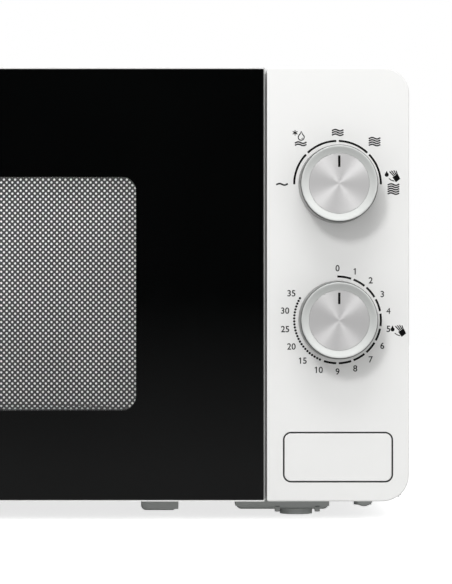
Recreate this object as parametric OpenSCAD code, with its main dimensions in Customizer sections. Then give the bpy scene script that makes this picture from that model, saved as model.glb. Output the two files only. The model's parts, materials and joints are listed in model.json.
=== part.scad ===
// Compact free-standing microwave oven with two rotary controls and a push-button door.
// Frame: origin under the middle of the oven on the surface it stands on,
// +X to the right seen from the front, +Y to the back, +Z up. Millimetres.

/* [Body] */
// Overall width
body_w = 451; // [445:1:460]
// Height of the top above the table
body_top = 257.7; // [257:0.1:262]
// Height of the feet, up to the bottom edge of the casing
foot_h = 11.5; // [11:0.5:12]
// Depth of the steel casing behind the front plate
shell_d = 280; // [280:1:300]
// Depth of the door and of the control panel
front_d = 32; // [32:0.5:34]
// Thickness of the sheet metal
sheet = 0.8; // [0.6:0.1:1]
// Radius of the front's outer corners
corner_r = 15; // [12:0.5:18]

/* [Control panel] */
// Width of the control panel
panel_w = 80.7; // [80:0.1:84]
// Wall of the plastic mouldings
wall = 2.4; // [2:0.1:2.6]
// Height of the power knob's centre
power_z = 191.4; // [185:0.1:195]
// Height of the timer knob's centre
timer_z = 114.5; // [110:0.1:118]
// Diameter of a knob at its base
knob_d = 45; // [40:0.5:46]
// How far a knob stands out from the panel
knob_h = 19.5; // [17:0.5:20]

/* [Door button] */
// Width of the button
button_w = 60.7; // [56:0.1:62]
// Height of the button
button_h = 27; // [25:0.1:28]
// Height of the button's centre
button_z = 36.6; // [36:0.1:38]

/* [Door] */
// Gap between the door and the control panel
door_gap = 0.7; // [0.6:0.1:1.5]
// Width of the window
win_w = 222.4; // [200:0.1:230]
// Height of the window
win_h = 132; // [120:1:140]
// Height of the window's centre
win_z = 129.5; // [125:0.5:132]
// Radius of the window's corners
win_r = 7.7; // [5:0.1:10]

/* [Cavity] */
// Inner width of the cooking cavity
cav_w = 306; // [300:1:306]
// Inner depth of the cooking cavity
cav_d = 270; // [265:1:270]
// Height of the cavity floor
floor_z = 30; // [30:0.5:31]
// Height of the cavity ceiling
ceil_z = 234; // [230:0.5:236]
// Diameter of the glass tray
tray_d = 245; // [240:1:245]

/* [Hidden] */

$fn = 64;
eps = 0.01;

// Planes and edges of the casing
half_w = body_w / 2;
spacer_d = 11.5;
depth = knob_h + front_d + shell_d + spacer_d;
face_y = knob_h - depth / 2;
plate_y = face_y + front_d;
back_y = plate_y + shell_d;
inset = 2;
case_x = half_w - inset;
case_top = body_top - 1.5;
case_low = foot_h + 1;
case_r = corner_r - inset;

// The panel and its controls
panel_x = half_w - panel_w;
knob_x = panel_x + panel_w / 2 - 0.3;
button_x = panel_x + panel_w / 2;
button_gap = 0.7;
button_r = 3.7;
knob_gap = 0.5;
shaft_r = 3;
shaft_run = 0.05;
panel_hole_r = 4.4;

// The door
door_right = panel_x - door_gap;
door_mid = (door_right - half_w) / 2;
glass_t = 3.2;
glass_edge = 0.7;
bevel_w = 1.05;
bevel_d = 3;
glass_back = face_y + glass_t;
door_back = plate_y - 0.5;
pivot_x = -half_w + 10;
pivot_y = plate_y - 12;
pivot_r = 3;
hinge_clear = 0.1;
hinge_arm_t = 3;
hinge_low = 26;
hinge_high = body_top - 14.5;
screen_y = face_y + 11;
choke_y = door_back - 2.2;

// The cavity, centred behind the window
cav_x0 = door_mid - cav_w / 2;
cav_x1 = door_mid + cav_w / 2;
cav_y0 = plate_y + sheet;
cav_y1 = cav_y0 + cav_d;
cav_r = 8;
tray_x = door_mid;
tray_y = (cav_y0 + cav_y1) / 2;

// The turntable: recess, rollers and tray stacked with small gaps
recess_r = 105;
recess_h = 3;
track_z = floor_z - recess_h;
roller_r = 6.85;
roller_w = 8;
roller_gap = 0.3;
roller_pcr = 88;
axle_r = 1.6;
axle_run = 0.06;
roller_z = track_z + roller_gap + roller_r;
tray_z = roller_z + roller_r + roller_gap;
tray_t = 5;
tray_rim = 12;
drive_r = 3.5;

// The latch in the door, its bracket and the lever that lifts it
latch_x = door_right - 9;
latch_w = 3;
hook_low = 75;
hook_high = 184;
hook_h = 8;
hook_tip = plate_y + 23;
barb_l = 6;
barb_h = 2.8;
latch_clear = 0.4;
latch_y = plate_y - 10;
latch_spring_z = 50;
latch_bar_z = 66;
lever_y = plate_y + 6;
lever_z = hook_low - 17;
lever_arm = 22;
stem_x = panel_x + 20;

// The machine compartment, right of the cavity
room_x0 = cav_x1 + sheet;
room_x1 = case_x - sheet;
tube_x = room_x0 + 14;
tube_y = 20;
tube_z = 172;
fan_x = (room_x0 + room_x1) / 2;
fan_z = 150;
fan_y = back_y - 42;
fan_r = 40;
lamp_y = 95;
lamp_z = 205;
gland_x = 190;
gland_z = 40;
gland_r = 4;

// ---------------------------------------------------------------- helpers

// Rectangle whose left corners have radius rl and whose right corners have radius rr
module round_rect(x0, x1, z0, z1, rl, rr) {
    translate([x0 + rl, z0]) square([x1 - rr - x0 - rl, z1 - z0]);
    translate([x0, z0 + rl]) square([rl + eps, z1 - z0 - 2 * rl]);
    translate([x1 - rr - eps, z0 + rr]) square([rr + eps, z1 - z0 - 2 * rr]);
    for (z = [z0 + rl, z1 - rl]) translate([x0 + rl, z]) circle(rl);
    for (z = [z0 + rr, z1 - rr]) translate([x1 - rr, z]) circle(rr);
}

// Extrude an X-Z drawing from plane y0 back to plane y1
module upright(y0, y1) {
    translate([0, y1, 0]) rotate([90, 0, 0]) linear_extrude(y1 - y0) children();
}

// Extrude a Y-Z drawing from plane x0 to plane x1
module sideways(x0, x1) {
    translate([x0, 0, 0]) rotate([90, 0, 90]) linear_extrude(x1 - x0) children();
}

module block(x0, x1, y0, y1, z0, z1) {
    translate([x0, y0, z0]) cube([x1 - x0, y1 - y0, z1 - z0]);
}

// Round bar along Y from y0 to y1
module bar_y(x, z, r, y0, y1) {
    translate([x, y1, z]) rotate([90, 0, 0]) cylinder(h = y1 - y0, r = r);
}

// Round bar along X from x0 to x1
module bar_x(y, z, r, x0, x1) {
    translate([x0, y, z]) rotate([0, 90, 0]) cylinder(h = x1 - x0, r = r);
}

// Coil spring standing on z = 0: a round wire swept along a helix
module coil(r, wire_r, turns, pitch) {
    steps = 14;
    sides = 8;
    rings = turns * steps;
    points = [for (i = [0 : rings], s = [0 : sides - 1])
        let (a = 360 * i / steps, b = 360 * s / sides, q = r + wire_r * cos(b))
        [q * cos(a), q * sin(a), pitch * i / steps + wire_r * (1 + sin(b))]];
    skin = [for (i = [0 : rings - 1], s = [0 : sides - 1])
        let (t = (s + 1) % sides)
        [i * sides + s, (i + 1) * sides + s, (i + 1) * sides + t, i * sides + t]];
    first = [for (s = [0 : sides - 1]) s];
    last = [for (s = [sides - 1 : -1 : 0]) rings * sides + s];
    polyhedron(points, concat(skin, [first, last]), convexity = 10);
}

// Row of slots through the sheet, drawn as X-Z or Y-Z rectangles
module slots(a0, b0, count, pitch, w, h) {
    for (i = [0 : count - 1]) translate([a0 + i * pitch, b0]) square([w, h]);
}

// ---------------------------------------------------------------- casing

module cabinet_wrap() {
    side_slots = 12;
    slot_pitch = 9;
    color("white") difference() {
        upright(plate_y, back_y) difference() {
            wrap_outline(0);
            wrap_outline(sheet);
        }
        for (z = [60, 90]) sideways(room_x1 - 1, case_x + 1) slots(30, z, side_slots, slot_pitch, 3.5, 20);
        sideways(-case_x - 1, -case_x + sheet + 1) slots(40, 190, 10, slot_pitch, 3.5, 20);
    }
}

// Arch outline of the wrap, open at the bottom, shrunk by t
module wrap_outline(t) {
    intersection() {
        round_rect(-case_x + t, case_x - t, case_low - 40, case_top - t, case_r - t, case_r - t);
        translate([-half_w, t > 0 ? 0 : case_low]) square([body_w, body_top]);
    }
}

module rear_plate() {
    color("gainsboro") difference() {
        upright(back_y - 2 * sheet, back_y - sheet) intersection() {
            wrap_outline(sheet + 0.2);
            translate([-half_w, case_low]) square([body_w, body_top]);
        }
        for (z = [130, 150, 170]) upright(back_y - 3, back_y + 1) slots(130, z, 12, 7, 3.5, 14);
        for (z = [60, 80]) upright(back_y - 3, back_y + 1) slots(-190, z, 8, 7, 3.5, 14);
        bar_y(gland_x, gland_z, gland_r + 4, back_y - 3, back_y + 1);
    }
}

module base_plate() {
    y0 = plate_y + 2 * sheet;
    color("silver") difference() {
        union() {
            difference() {
                block(-case_x + sheet + 0.2, case_x - sheet - 0.2, y0, back_y - 2 * sheet - 0.2,
                    foot_h, foot_h + sheet);
                for (i = [0 : 11])
                    block(118 + 8 * i, 121.5 + 8 * i, 60, 100, foot_h - 1, foot_h + 2);
                base_bosses(sheet, foot_h + 2);
            }
            difference() {
                base_bosses(0, foot_h + sheet);
                base_bosses(sheet, foot_h + 2);
            }
        }
        translate([tray_x, tray_y, 0]) cylinder(h = 20, r = 12);
    }
}

// Pressed bosses under the front edge, shrunk by t, open at top
module base_bosses(t, top) {
    y0 = plate_y + 4;
    block(75.5 + t, 94.5 - t, y0 + t, y0 + 24 - t, 4.2 + t, top);
    block(127.5 + t, 182 - t, y0 + t, y0 + 46 - t, 6 + t, top);
    translate([202, y0 + 12, 6 + t]) cylinder(h = top - 6 - t, r = 5.2 - t);
}

module feet() {
    color("dimgray") for (x = [-163.5, 163.5], front = [true, false]) {
        top = front && x > 0 ? 6 : foot_h;
        y = front ? plate_y + 26 : back_y - 32;
        translate([x, y, 0]) {
            cylinder(h = 4, r = 9.5);
            translate([0, 0, 4]) cylinder(h = top - 4, r = 8.5);
        }
    }
}

module rear_spacers() {
    color("whitesmoke") for (x = [-170, 170])
        upright(back_y - sheet, back_y + spacer_d) round_rect(x - 9, x + 9, 200, 218, 4, 4);
}

module cord_gland() {
    color("black") difference() {
        union() {
            bar_y(gland_x, gland_z, gland_r + 3.9, back_y - 2 * sheet - 1, back_y - sheet + 0.1);
            bar_y(gland_x, gland_z, gland_r + 6, back_y - sheet, back_y + 3);
            bar_y(gland_x, gland_z, gland_r + 6, back_y - 6, back_y - 2 * sheet);
        }
        bar_y(gland_x, gland_z, gland_r, back_y - 8, back_y + 5);
    }
}

module cabinet_screws() {
    color("silver") for (x = [-212, -70, 70, 212], z = [22, 247])
        if (abs(x) > 100 || z > 100)
            translate([x * (z > 100 && abs(x) > 100 ? 0.97 : 1), back_y - sheet, z]) rotate([-90, 0, 0]) {
                cylinder(h = 1.2, r = 4);
                translate([0, 0, 1.1]) cylinder(h = 1.2, r1 = 3.6, r2 = 2.4);
            }
}

// ---------------------------------------------------------------- front

module control_panel() {
    x0 = panel_x;
    x1 = half_w;
    color("whitesmoke") difference() {
        upright(face_y, plate_y) round_rect(x0, x1, foot_h, body_top, 1, corner_r);
        upright(face_y + wall, plate_y + 1)
            round_rect(x0 + wall, x1 - wall, foot_h + wall, body_top - wall, 1, corner_r - wall);
        for (z = [power_z, timer_z]) bar_y(knob_x, z, panel_hole_r, face_y - 1, face_y + wall + 1);
        upright(face_y - 1, face_y + wall + 1) button_outline(button_gap);
    }
}

// The button's outline, grown by t
module button_outline(t) {
    round_rect(button_x - button_w / 2 - t, button_x + button_w / 2 + t,
        button_z - button_h / 2 - t, button_z + button_h / 2 + t, button_r + t, button_r + t);
}

module front_plate() {
    color("white") difference() {
        upright(plate_y, plate_y + sheet) difference() {
            round_rect(-case_x + sheet + 0.2, case_x - sheet - 0.2, case_low, case_top - sheet - 0.2,
                case_r - 1, case_r - 1);
            round_rect(cav_x0, cav_x1, floor_z, ceil_z, cav_r, cav_r);
            translate([panel_x + 7, 24]) square([62, 215]);
            for (z = [hook_low, hook_high])
                translate([latch_x - 4, z - hook_h / 2 - 5]) square([9, hook_h + 10]);
        }
    }
}

// ---------------------------------------------------------------- cavity

module cavity_walls() {
    y0 = cav_y0;
    color("white") difference() {
        upright(y0, cav_y1) difference() {
            cavity_outline(sheet);
            cavity_outline(0);
        }
        sideways(cav_x1 - 1, room_x0 + 1) {
            translate([tube_y - 45, tube_z - 18]) square([90, 36]);
            for (i = [0 : 7], j = [0 : 4]) translate([-90 + 7 * i, 195 + 7 * j]) circle(2, $fn = 24);
            for (i = [0 : 3], j = [0 : 3])
                translate([lamp_y - 9 + 6 * i, lamp_z - 9 + 6 * j]) circle(2, $fn = 24);
        }
        sideways(cav_x0 - 2, cav_x0 + 1)
            for (i = [0 : 7], j = [0 : 4]) translate([60 + 7 * i, 195 + 7 * j]) circle(2, $fn = 24);
    }
}

// Arch outline of the cavity, open at the floor, grown by t
module cavity_outline(t) {
    intersection() {
        round_rect(cav_x0 - t, cav_x1 + t, floor_z - 40, ceil_z + t, cav_r + t, cav_r + t);
        translate([cav_x0 - 5, t > 0 ? floor_z : 0]) square([cav_w + 10, body_top]);
    }
}

module cavity_floor() {
    lip = sheet;
    color("white") difference() {
        union() {
            block(cav_x0 - sheet, cav_x1 + sheet, cav_y0, cav_y1, floor_z - lip, floor_z - eps);
            translate([tray_x, tray_y, track_z - sheet]) cylinder(h = recess_h, r = recess_r + sheet);
        }
        translate([tray_x, tray_y, track_z]) cylinder(h = 10, r = recess_r);
        translate([tray_x, tray_y, 0]) cylinder(h = floor_z, r = drive_r + 4);
    }
}

module cavity_back() {
    color("white") upright(cav_y1, cav_y1 + sheet)
        round_rect(cav_x0 - sheet, cav_x1 + sheet, floor_z - sheet, ceil_z + sheet, 3, 3);
}

module waveguide() {
    y0 = tube_y - 52;
    y1 = tube_y + 52;
    z0 = tube_z - 26;
    z1 = tube_z + 26;
    top = tube_x + sheet;
    color("silver") difference() {
        union() {
            block(room_x0, top, y0 + 6, y1 - 6, z0 + 6, z1 - 6);
            block(room_x0, room_x0 + sheet, y0, y1, z0, z1);
        }
        block(room_x0 - 1, tube_x, y0 + 6 + sheet, y1 - 6 - sheet, z0 + 6 + sheet, z1 - 6 - sheet);
        bar_x(tube_y, tube_z, 11, tube_x - 1, top + 1);
    }
}

module waveguide_cover() {
    color("tan") block(cav_x1 - 1.1, cav_x1 - 0.5, tube_y - 55, tube_y + 55, tube_z - 25, tube_z + 25);
}

module lamp_holder() {
    color("ivory") difference() {
        union() {
            bar_x(lamp_y, lamp_z, 16, room_x0 + 0.1, room_x0 + 4);
            bar_x(lamp_y, lamp_z, 11, room_x0 + 3, room_x0 + 38);
        }
        bar_x(lamp_y, lamp_z, 9.6, room_x0 - 1, room_x0 + 30);
    }
}

module cavity_lamp() {
    color("lightyellow") translate([room_x0 + 14, lamp_y, lamp_z]) rotate([0, 90, 0])
        rotate_extrude() intersection() {
            union() {
                circle(8);
                square([6, 15.8]);
            }
            translate([0, -10]) square([10, 30]);
        }
}

module turntable_motor() {
    top = track_z - sheet - 0.2;
    color("silver") union() {
        translate([tray_x, tray_y, foot_h + sheet + 0.2])
            cylinder(h = top - foot_h - sheet - 0.2, r = 24.5);
        for (a = [0, 180]) translate([tray_x, tray_y, top - 1.5]) rotate([0, 0, a])
            difference() {
                union() {
                    translate([20, -5, 0]) cube([13, 10, 1.5]);
                    translate([33, 0, 0]) cylinder(h = 1.5, r = 5);
                }
                translate([33, 0, -1]) cylinder(h = 5, r = 2.1);
            }
    }
}

module hinge_brackets() {
    color("silver") for (z = [hinge_low, hinge_high], up = [z == hinge_high ? 1 : -1]) {
        arm0 = z - hinge_arm_t / 2;
        block(pivot_x - 4.5, pivot_x + 4.5, pivot_y, plate_y, arm0, arm0 + hinge_arm_t);
        translate([pivot_x, pivot_y, arm0]) cylinder(h = hinge_arm_t, r = 4.5);
        translate([pivot_x, pivot_y, up > 0 ? z : z - 8]) cylinder(h = 8, r = pivot_r);
    }
}

// ---------------------------------------------------------------- door

module door_frame() {
    x0 = -half_w;
    x1 = door_right;
    z0 = foot_h;
    z1 = body_top;
    step = 7;
    color("whitesmoke") union() {
        difference() {
            intersection() {
                upright(face_y, door_back) round_rect(x0, x1, z0, z1, corner_r, 1.2);
                union() {
                    block(x0 - 1, x1 + 1, face_y - 1, pivot_y, z0 - 1, z1 + 1);
                    block(pivot_x, x1 + 1, pivot_y - 1, door_back + 1, z0 - 1, z1 + 1);
                    translate([pivot_x, pivot_y, z0 - 1]) cylinder(h = z1 - z0 + 2, r = 10);
                }
            }
            upright(face_y - 1, glass_back) glass_outline(0);
            translate([0, 0, z0 - 1]) linear_extrude(z1 - z0 + 2)
                polygon([[x1 - bevel_w - 0.1, face_y - eps], [x1 + 1, face_y - eps],
                    [x1 + 1, face_y + bevel_d], [x1, face_y + bevel_d]]);
            upright(glass_back - 1, glass_back + 3) round_rect(x0 + step, x1 - step, z0 + step,
                z1 - step, corner_r - step, 1);
            upright(glass_back + 2, door_back + 1) round_rect(x0 + wall, x1 - wall, z0 + wall,
                z1 - wall, corner_r - wall, 1);
            for (z = [hinge_low, hinge_high])
                block(x0 - 1, x0 + wall + 1, pivot_y - 9, plate_y, z - 3, z + 3);
        }
        for (z = [z0 + wall - 1, hinge_high + 2]) hinge_boss(z, z < hinge_high ? 9.6 : 10.5);
    }
}

// Block in the frame's corner with the bore that the hinge pin turns in
module hinge_boss(z, h) {
    translate([pivot_x, pivot_y, z]) difference() {
        union() {
            cylinder(h = h, r = 6);
            translate([-8.5, -14, 0]) cube([13, 13, h]);
        }
        translate([0, 0, -1]) cylinder(h = h + 2, r = pivot_r + hinge_clear);
    }
}

module glass_outline(t) {
    round_rect(-half_w + glass_edge + t, door_right - bevel_w - t, foot_h + glass_edge + t,
        body_top - glass_edge - t, corner_r - 1, 0.5);
}

module door_glass() {
    color([0.03, 0.03, 0.03]) upright(face_y, glass_back - 0.1) glass_outline(0.1);
}

// Rectangle around the window, grown by t, with corner radius r
module window_outline(t, r) {
    round_rect(door_mid - win_w / 2 - t, door_mid + win_w / 2 + t, win_z - win_h / 2 - t,
        win_z + win_h / 2 + t, r, r);
}

module door_inner_panel() {
    x0 = pivot_x + 8;
    x1 = latch_x - 4;
    z0 = foot_h + 11;
    z1 = body_top - 11;
    y0 = screen_y + 0.6;
    fold = choke_y - 0.2;
    color("darkgray") difference() {
        upright(y0, fold) round_rect(x0, x1, z0, z1, 3, 3);
        upright(y0 - 1, y0 + 1 + sheet) window_outline(6, win_r);
        upright(y0 + sheet, fold + 1) difference() {
            round_rect(x0 + sheet, x1 - sheet, z0 + sheet, z1 - sheet, 2.2, 2.2);
            window_outline(8 + sheet, win_r);
        }
        upright(y0, fold + 1) window_outline(8, win_r);
    }
}

module door_screen() {
    color("dimgray") upright(screen_y, screen_y + 0.5) window_outline(12, win_r + 4);
}

module door_film() {
    color("lightcyan") upright(choke_y - 1.4, choke_y - 1) window_outline(7.6, win_r);
}

module choke_cover() {
    color("silver") upright(choke_y, door_back) difference() {
        round_rect(pivot_x + 7, latch_x - 3.2, foot_h + 9, body_top - 9, 5, 5);
        window_outline(4, win_r);
    }
}

module latch_hook() {
    x0 = latch_x - latch_w / 2;
    x1 = latch_x + latch_w / 2;
    color("gainsboro") union() {
        block(x0, x1, latch_y - 4, door_back - 2, latch_bar_z, hook_high + hook_h / 2 + 6);
        for (z = [hook_low, hook_high]) {
            block(x0, x1, door_back - 3, hook_tip, z - hook_h / 2, z + hook_h / 2);
            sideways(x0, x1) polygon([
                [hook_tip - barb_l, z - hook_h / 2 + 1],
                [hook_tip - barb_l, z - hook_h / 2 - barb_h],
                [hook_tip - barb_l / 2, z - hook_h / 2 - barb_h],
                [hook_tip, z - hook_h / 2 + 1]]);
        }
    }
}

module latch_spring() {
    wire = 0.35;
    turns = 7;
    pitch = (latch_bar_z - latch_spring_z - 2 * wire - 0.2) / turns;
    color("silver") translate([latch_x, latch_y, latch_spring_z]) coil(2.8, wire, turns, pitch);
}

// ---------------------------------------------------------------- release gear

module release_button() {
    stem_z = lever_z - lever_arm;
    color("whitesmoke") union() {
        upright(face_y, face_y + 3) button_outline(0);
        upright(face_y + 2, face_y + 12) difference() {
            button_outline(-1.2);
            button_outline(-3.2);
        }
        block(stem_x - 3, stem_x + 3, face_y + 2, lever_y - 2, stem_z - 3, stem_z + 0.5);
        block(stem_x - 1, stem_x + 1, face_y + 2, lever_y - 12, stem_z - 6, stem_z - 2);
    }
}

module release_lever() {
    arm_x0 = latch_x - 1.8;
    arm_x1 = latch_x + 1.8;
    lift_z = hook_low - hook_h / 2 - barb_h - latch_clear;
    color("ivory") union() {
        bar_x(lever_y, lever_z, 2.5, latch_x - 13.5, stem_x + 9);
        block(stem_x - 4, stem_x + 4, lever_y - 1.5, lever_y + 1.5, lever_z - lever_arm - 2, lever_z);
        sideways(arm_x0, arm_x1) polygon([
            [lever_y, lever_z - 2.4], [lever_y + 17, lift_z - 3.2], [lever_y + 17, lift_z],
            [lever_y + 10, lift_z], [lever_y, lever_z + 2.4]]);
    }
}

module lever_spring() {
    wire = 0.4;
    x0 = latch_x + 9;
    color("silver") translate([x0, lever_y, lever_z]) rotate([0, 90, 0]) coil(3.3, wire, 6, 1.2);
}

module latch_bracket() {
    x0 = latch_x - 14;
    x1 = latch_x + 6.5;
    y0 = plate_y + sheet + 0.1;
    y1 = plate_y + 40;
    color("beige") difference() {
        union() {
            block(x0, x0 + 3, y0, y1, 50, 212);
            for (z = [hook_low, hook_high], low = [z - hook_h / 2 - barb_h - latch_clear]) {
                block(x0, x1, y0, y0 + 8, low - 2, low);
                block(x0, x1, y0, y1, z + hook_h / 2 + 7, z + hook_h / 2 + 10);
            }
            block(x0, x1, y0, y0 + 3, 204, 212);
            block(x0, x1, lever_y - 5, lever_y + 5, lever_z - 14, lever_z - 11);
            for (x = [x0, x1 - 3]) block(x, x + 3, lever_y - 5, lever_y + 5, lever_z - 14, lever_z + 5);
        }
        bar_x(lever_y, lever_z, 2.6, x0 - 1, x1 + 1);
    }
}

module interlock_switches() {
    x0 = latch_x - 10.5;
    color("black") for (z = [hook_low + 20, hook_high - 30, hook_high + 14]) {
        difference() {
            block(x0, x0 + 10.3, plate_y + 5, plate_y + 33, z, z + 14);
            for (y = [plate_y + 9, plate_y + 29]) bar_x(y, z + 4, 1.5, x0 - 1, x0 + 12);
        }
        for (i = [0 : 2]) block(x0 + 3, x0 + 9, plate_y + 32, plate_y + 39, z + 2 + 4.5 * i,
            z + 2.8 + 4.5 * i);
    }
}

// ---------------------------------------------------------------- controls

// Knob turned about Y: flat disc, dished ring, rounded rim and a side that flares to the base
module knob(z) {
    base = knob_d / 2;
    h = knob_h;
    color("silver") translate([knob_x, face_y, z]) rotate([90, 0, 0]) difference() {
        rotate_extrude($fn = 96) polygon([
            [0, knob_gap], [base, knob_gap], [base, 2], [base - 0.6, h - 1], [base - 0.9, h - 0.4],
            [base - 1.5, h], [base - 2.1, h], [base - 5.5, h - 1.4], [0, h - 1.4]]);
        translate([0, 0, -1]) cylinder(h = 11, r = shaft_r + eps);
    }
}

module power_knob() { knob(power_z); }

module timer_knob() { knob(timer_z); }

// Control shaft from the timer unit into the knob
module shaft(z) {
    color("silver") bar_y(knob_x, z, shaft_r, face_y - 8, plate_y + 12);
}

module power_shaft() { shaft(power_z); }

module timer_shaft() { shaft(timer_z); }

module timer_unit() {
    x0 = knob_x - 26;
    x1 = knob_x + 26;
    y0 = face_y + 8;
    color("silver") difference() {
        union() {
            block(x0, x1, y0, y0 + 1.5, timer_z - 30, power_z + 26);
            block(knob_x - 24, knob_x + 24, y0 + 1, y0 + 34, timer_z - 26, timer_z + 26);
            block(knob_x - 20, knob_x + 20, y0 + 1, y0 + 28, power_z - 22, power_z + 22);
        }
        for (z = [power_z, timer_z]) {
            bar_y(knob_x, z, shaft_r + shaft_run, y0 - 1, plate_y + 13);
        }
        for (x = [x0 + 4, x1 - 4], z = [timer_z - 27, power_z + 23])
            bar_y(x, z, 1.2, y0 - 1, y0 + 3);
    }
}

module timer_bell() {
    color("silver") translate([knob_x, face_y + 42.2, timer_z]) rotate([-90, 0, 0]) difference() {
        union() {
            cylinder(h = 8, r = 17);
            cylinder(h = 10.5, r = 3);
        }
        translate([0, 0, -1]) cylinder(h = 7.8, r = 15.8);
    }
}

// ---------------------------------------------------------------- power parts

module magnetron_yoke() {
    x0 = tube_x + sheet + 0.2;
    color("silver") difference() {
        block(x0, x0 + 62, tube_y - 42, tube_y + 42, tube_z - 40, tube_z + 40);
        block(x0 + 1.5, x0 + 60.5, tube_y - 43, tube_y + 43, tube_z - 38.5, tube_z + 38.5);
        bar_x(tube_y, tube_z, 13, x0 - 1, x0 + 3);
        bar_x(tube_y, tube_z, 16, x0 + 59, x0 + 64);
    }
}

module magnetron_anode() {
    x0 = tube_x + sheet + 1.7;
    color("peru") union() {
        bar_x(tube_y, tube_z, 19, x0 + 17, x0 + 42);
        bar_x(tube_y, tube_z, 9.5, x0 - 6, x0 + 18);
        bar_x(tube_y, tube_z, 7, x0 - 13, x0 - 5);
        bar_x(tube_y, tube_z, 14, x0 + 41.9, x0 + 68);
    }
}

module magnetron_fins() {
    x0 = tube_x + sheet + 1.7;
    color("lightgray") for (i = [0 : 4]) difference() {
        block(x0 + 19 + 5 * i, x0 + 19.6 + 5 * i, tube_y - 39, tube_y + 39, tube_z - 37, tube_z + 37);
        bar_x(tube_y, tube_z, 19.02, x0 + 15, x0 + 45);
    }
}

module magnetron_magnets() {
    x0 = tube_x + sheet + 1.8;
    color("dimgray") for (x = [x0 + 0.1, x0 + 45]) difference() {
        bar_x(tube_y, tube_z, 27, x, x + 13);
        bar_x(tube_y, tube_z, 14.3, x - 1, x + 14);
    }
}

module transformer_core() {
    y0 = -70;
    color("slategray") difference() {
        block(room_x0 + 14, room_x1 - 14, y0, y0 + 46, 16, 92);
        for (s = [-1, 1]) block(fan_x + s * 24 - 10, fan_x + s * 24 + 10, y0 - 1, y0 + 47, 32, 76);
    }
    color("slategray") block(room_x0 + 8, room_x1 - 8, y0 + 2, y0 + 44, foot_h + sheet + 0.1, 16);
}

module transformer_coils() {
    y0 = -70;
    color("peru") for (z = [32.3, 55.3]) difference() {
        block(fan_x - 33.6, fan_x + 33.6, y0 - 14, y0 + 60, z, z + 20.3);
        block(fan_x - 14.2, fan_x + 14.2, y0 - 1, y0 + 47, z - 1, z + 22);
    }
}

module hv_capacitor() {
    y0 = 60;
    color("silver") union() {
        translate([0, y0, 0]) rotate([-90, 0, 0]) translate([0, -39, 0]) linear_extrude(80)
            capacitor_outline(0);
        for (x = [fan_x - 9, fan_x + 9]) block(x - 3, x + 3, y0 - 9, y0 + 0.1, 38.6, 39.4);
    }
}

// Oval can, grown by t, drawn about its own middle
module capacitor_outline(t) {
    translate([fan_x - 12, -16 - t]) square([24, 32 + 2 * t]);
    for (s = [-12, 12]) translate([fan_x + s, 0]) circle(16 + t);
}

module capacitor_clamp() {
    y0 = 92;
    color("gainsboro") difference() {
        union() {
            translate([0, y0, 0]) rotate([-90, 0, 0]) translate([0, -39, 0]) linear_extrude(14)
                capacitor_outline(1);
            block(fan_x - 38, fan_x + 38, y0, y0 + 14, foot_h + sheet + 0.1, foot_h + 2.3);
            block(fan_x - 14, fan_x + 14, y0, y0 + 14, foot_h + 1.3, 23);
        }
        translate([0, y0 - 1, 0]) rotate([-90, 0, 0]) translate([0, -39, 0]) linear_extrude(16)
            capacitor_outline(0.05);
    }
}

module hv_diode() {
    color("black") union() {
        bar_x(48, 20, 4, fan_x - 12, fan_x + 12);
        bar_x(48, 20, 0.6, fan_x - 24, fan_x + 24);
        for (s = [-24, 24]) block(fan_x + s - 3, fan_x + s + 3, 45, 51, foot_h + sheet + 0.1, 20.6);
    }
}

// ---------------------------------------------------------------- cooling

module fan_shroud() {
    y0 = fan_y;
    color("beige") difference() {
        union() {
            block(room_x0 + 1, room_x1 - 1, y0, y0 + 2, fan_z - 55, fan_z + 55);
            bar_y(fan_x, fan_z, fan_r + 4, y0 - 14, y0 + 1);
        }
        bar_y(fan_x, fan_z, fan_r + 2, y0 - 15, y0 + 3);
    }
}

module fan_motor() {
    y0 = fan_y + 9;
    color("silver") difference() {
        union() {
            block(fan_x - 24, fan_x + 24, y0 + 4, y0 + 20, fan_z - 22, fan_z + 34);
            block(fan_x - 48, fan_x + 48, y0 + 1, y0 + 4.1, fan_z - 7, fan_z + 7);
            bar_y(fan_x, fan_z, 9, y0 - 1, y0 + 6);
            for (s = [-1, 1]) block(fan_x + s * 47 - 3, fan_x + s * 47 + 3, fan_y + 2.1, y0 + 4.1,
                fan_z - 7, fan_z + 7);
        }
        bar_y(fan_x, fan_z, 2.05, y0 - 2, y0 + 18);
    }
}

module fan_blade() {
    y0 = fan_y - 10;
    color("white") union() {
        bar_y(fan_x, fan_z, 9, y0, y0 + 14);
        bar_y(fan_x, fan_z, 2, y0 + 13, y0 + 26);
        for (a = [0 : 72 : 359]) translate([fan_x, y0 + 7, fan_z]) rotate([0, a, 0])
            rotate([0, 0, 28]) translate([-12, -0.7, 7]) cube([24, 1.4, fan_r - 12]);
    }
}

// ---------------------------------------------------------------- electrics

module filter_board() {
    y0 = 10;
    z0 = case_top - 18;
    color("darkgreen") union() {
        block(room_x0 + 36, room_x1 - 8, y0, y0 + 70, z0, z0 + 1.6);
        for (y = [y0 + 10, y0 + 42]) translate([room_x0 + 52, y, z0 - 11]) cylinder(h = 11.1, r = 7);
        block(room_x1 - 34, room_x1 - 14, y0 + 8, y0 + 30, z0 - 14, z0 + 0.1);
    }
}

module mains_fuse() {
    z0 = case_top - 26;
    color("gainsboro") union() {
        bar_y(room_x1 - 24, z0 + 3, 2.5, 45, 65);
        for (y = [47, 61]) block(room_x1 - 27, room_x1 - 21, y, y + 2, z0, z0 + 7.9);
    }
}

module thermal_cutouts() {
    color("black") {
        translate([60, 60, ceil_z + sheet + 0.1]) cylinder(h = 7, r = 7.5);
        translate([tube_x + 30, tube_y + 20, tube_z + 40.1]) cylinder(h = 8, r = 7.5);
    }
}

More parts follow.
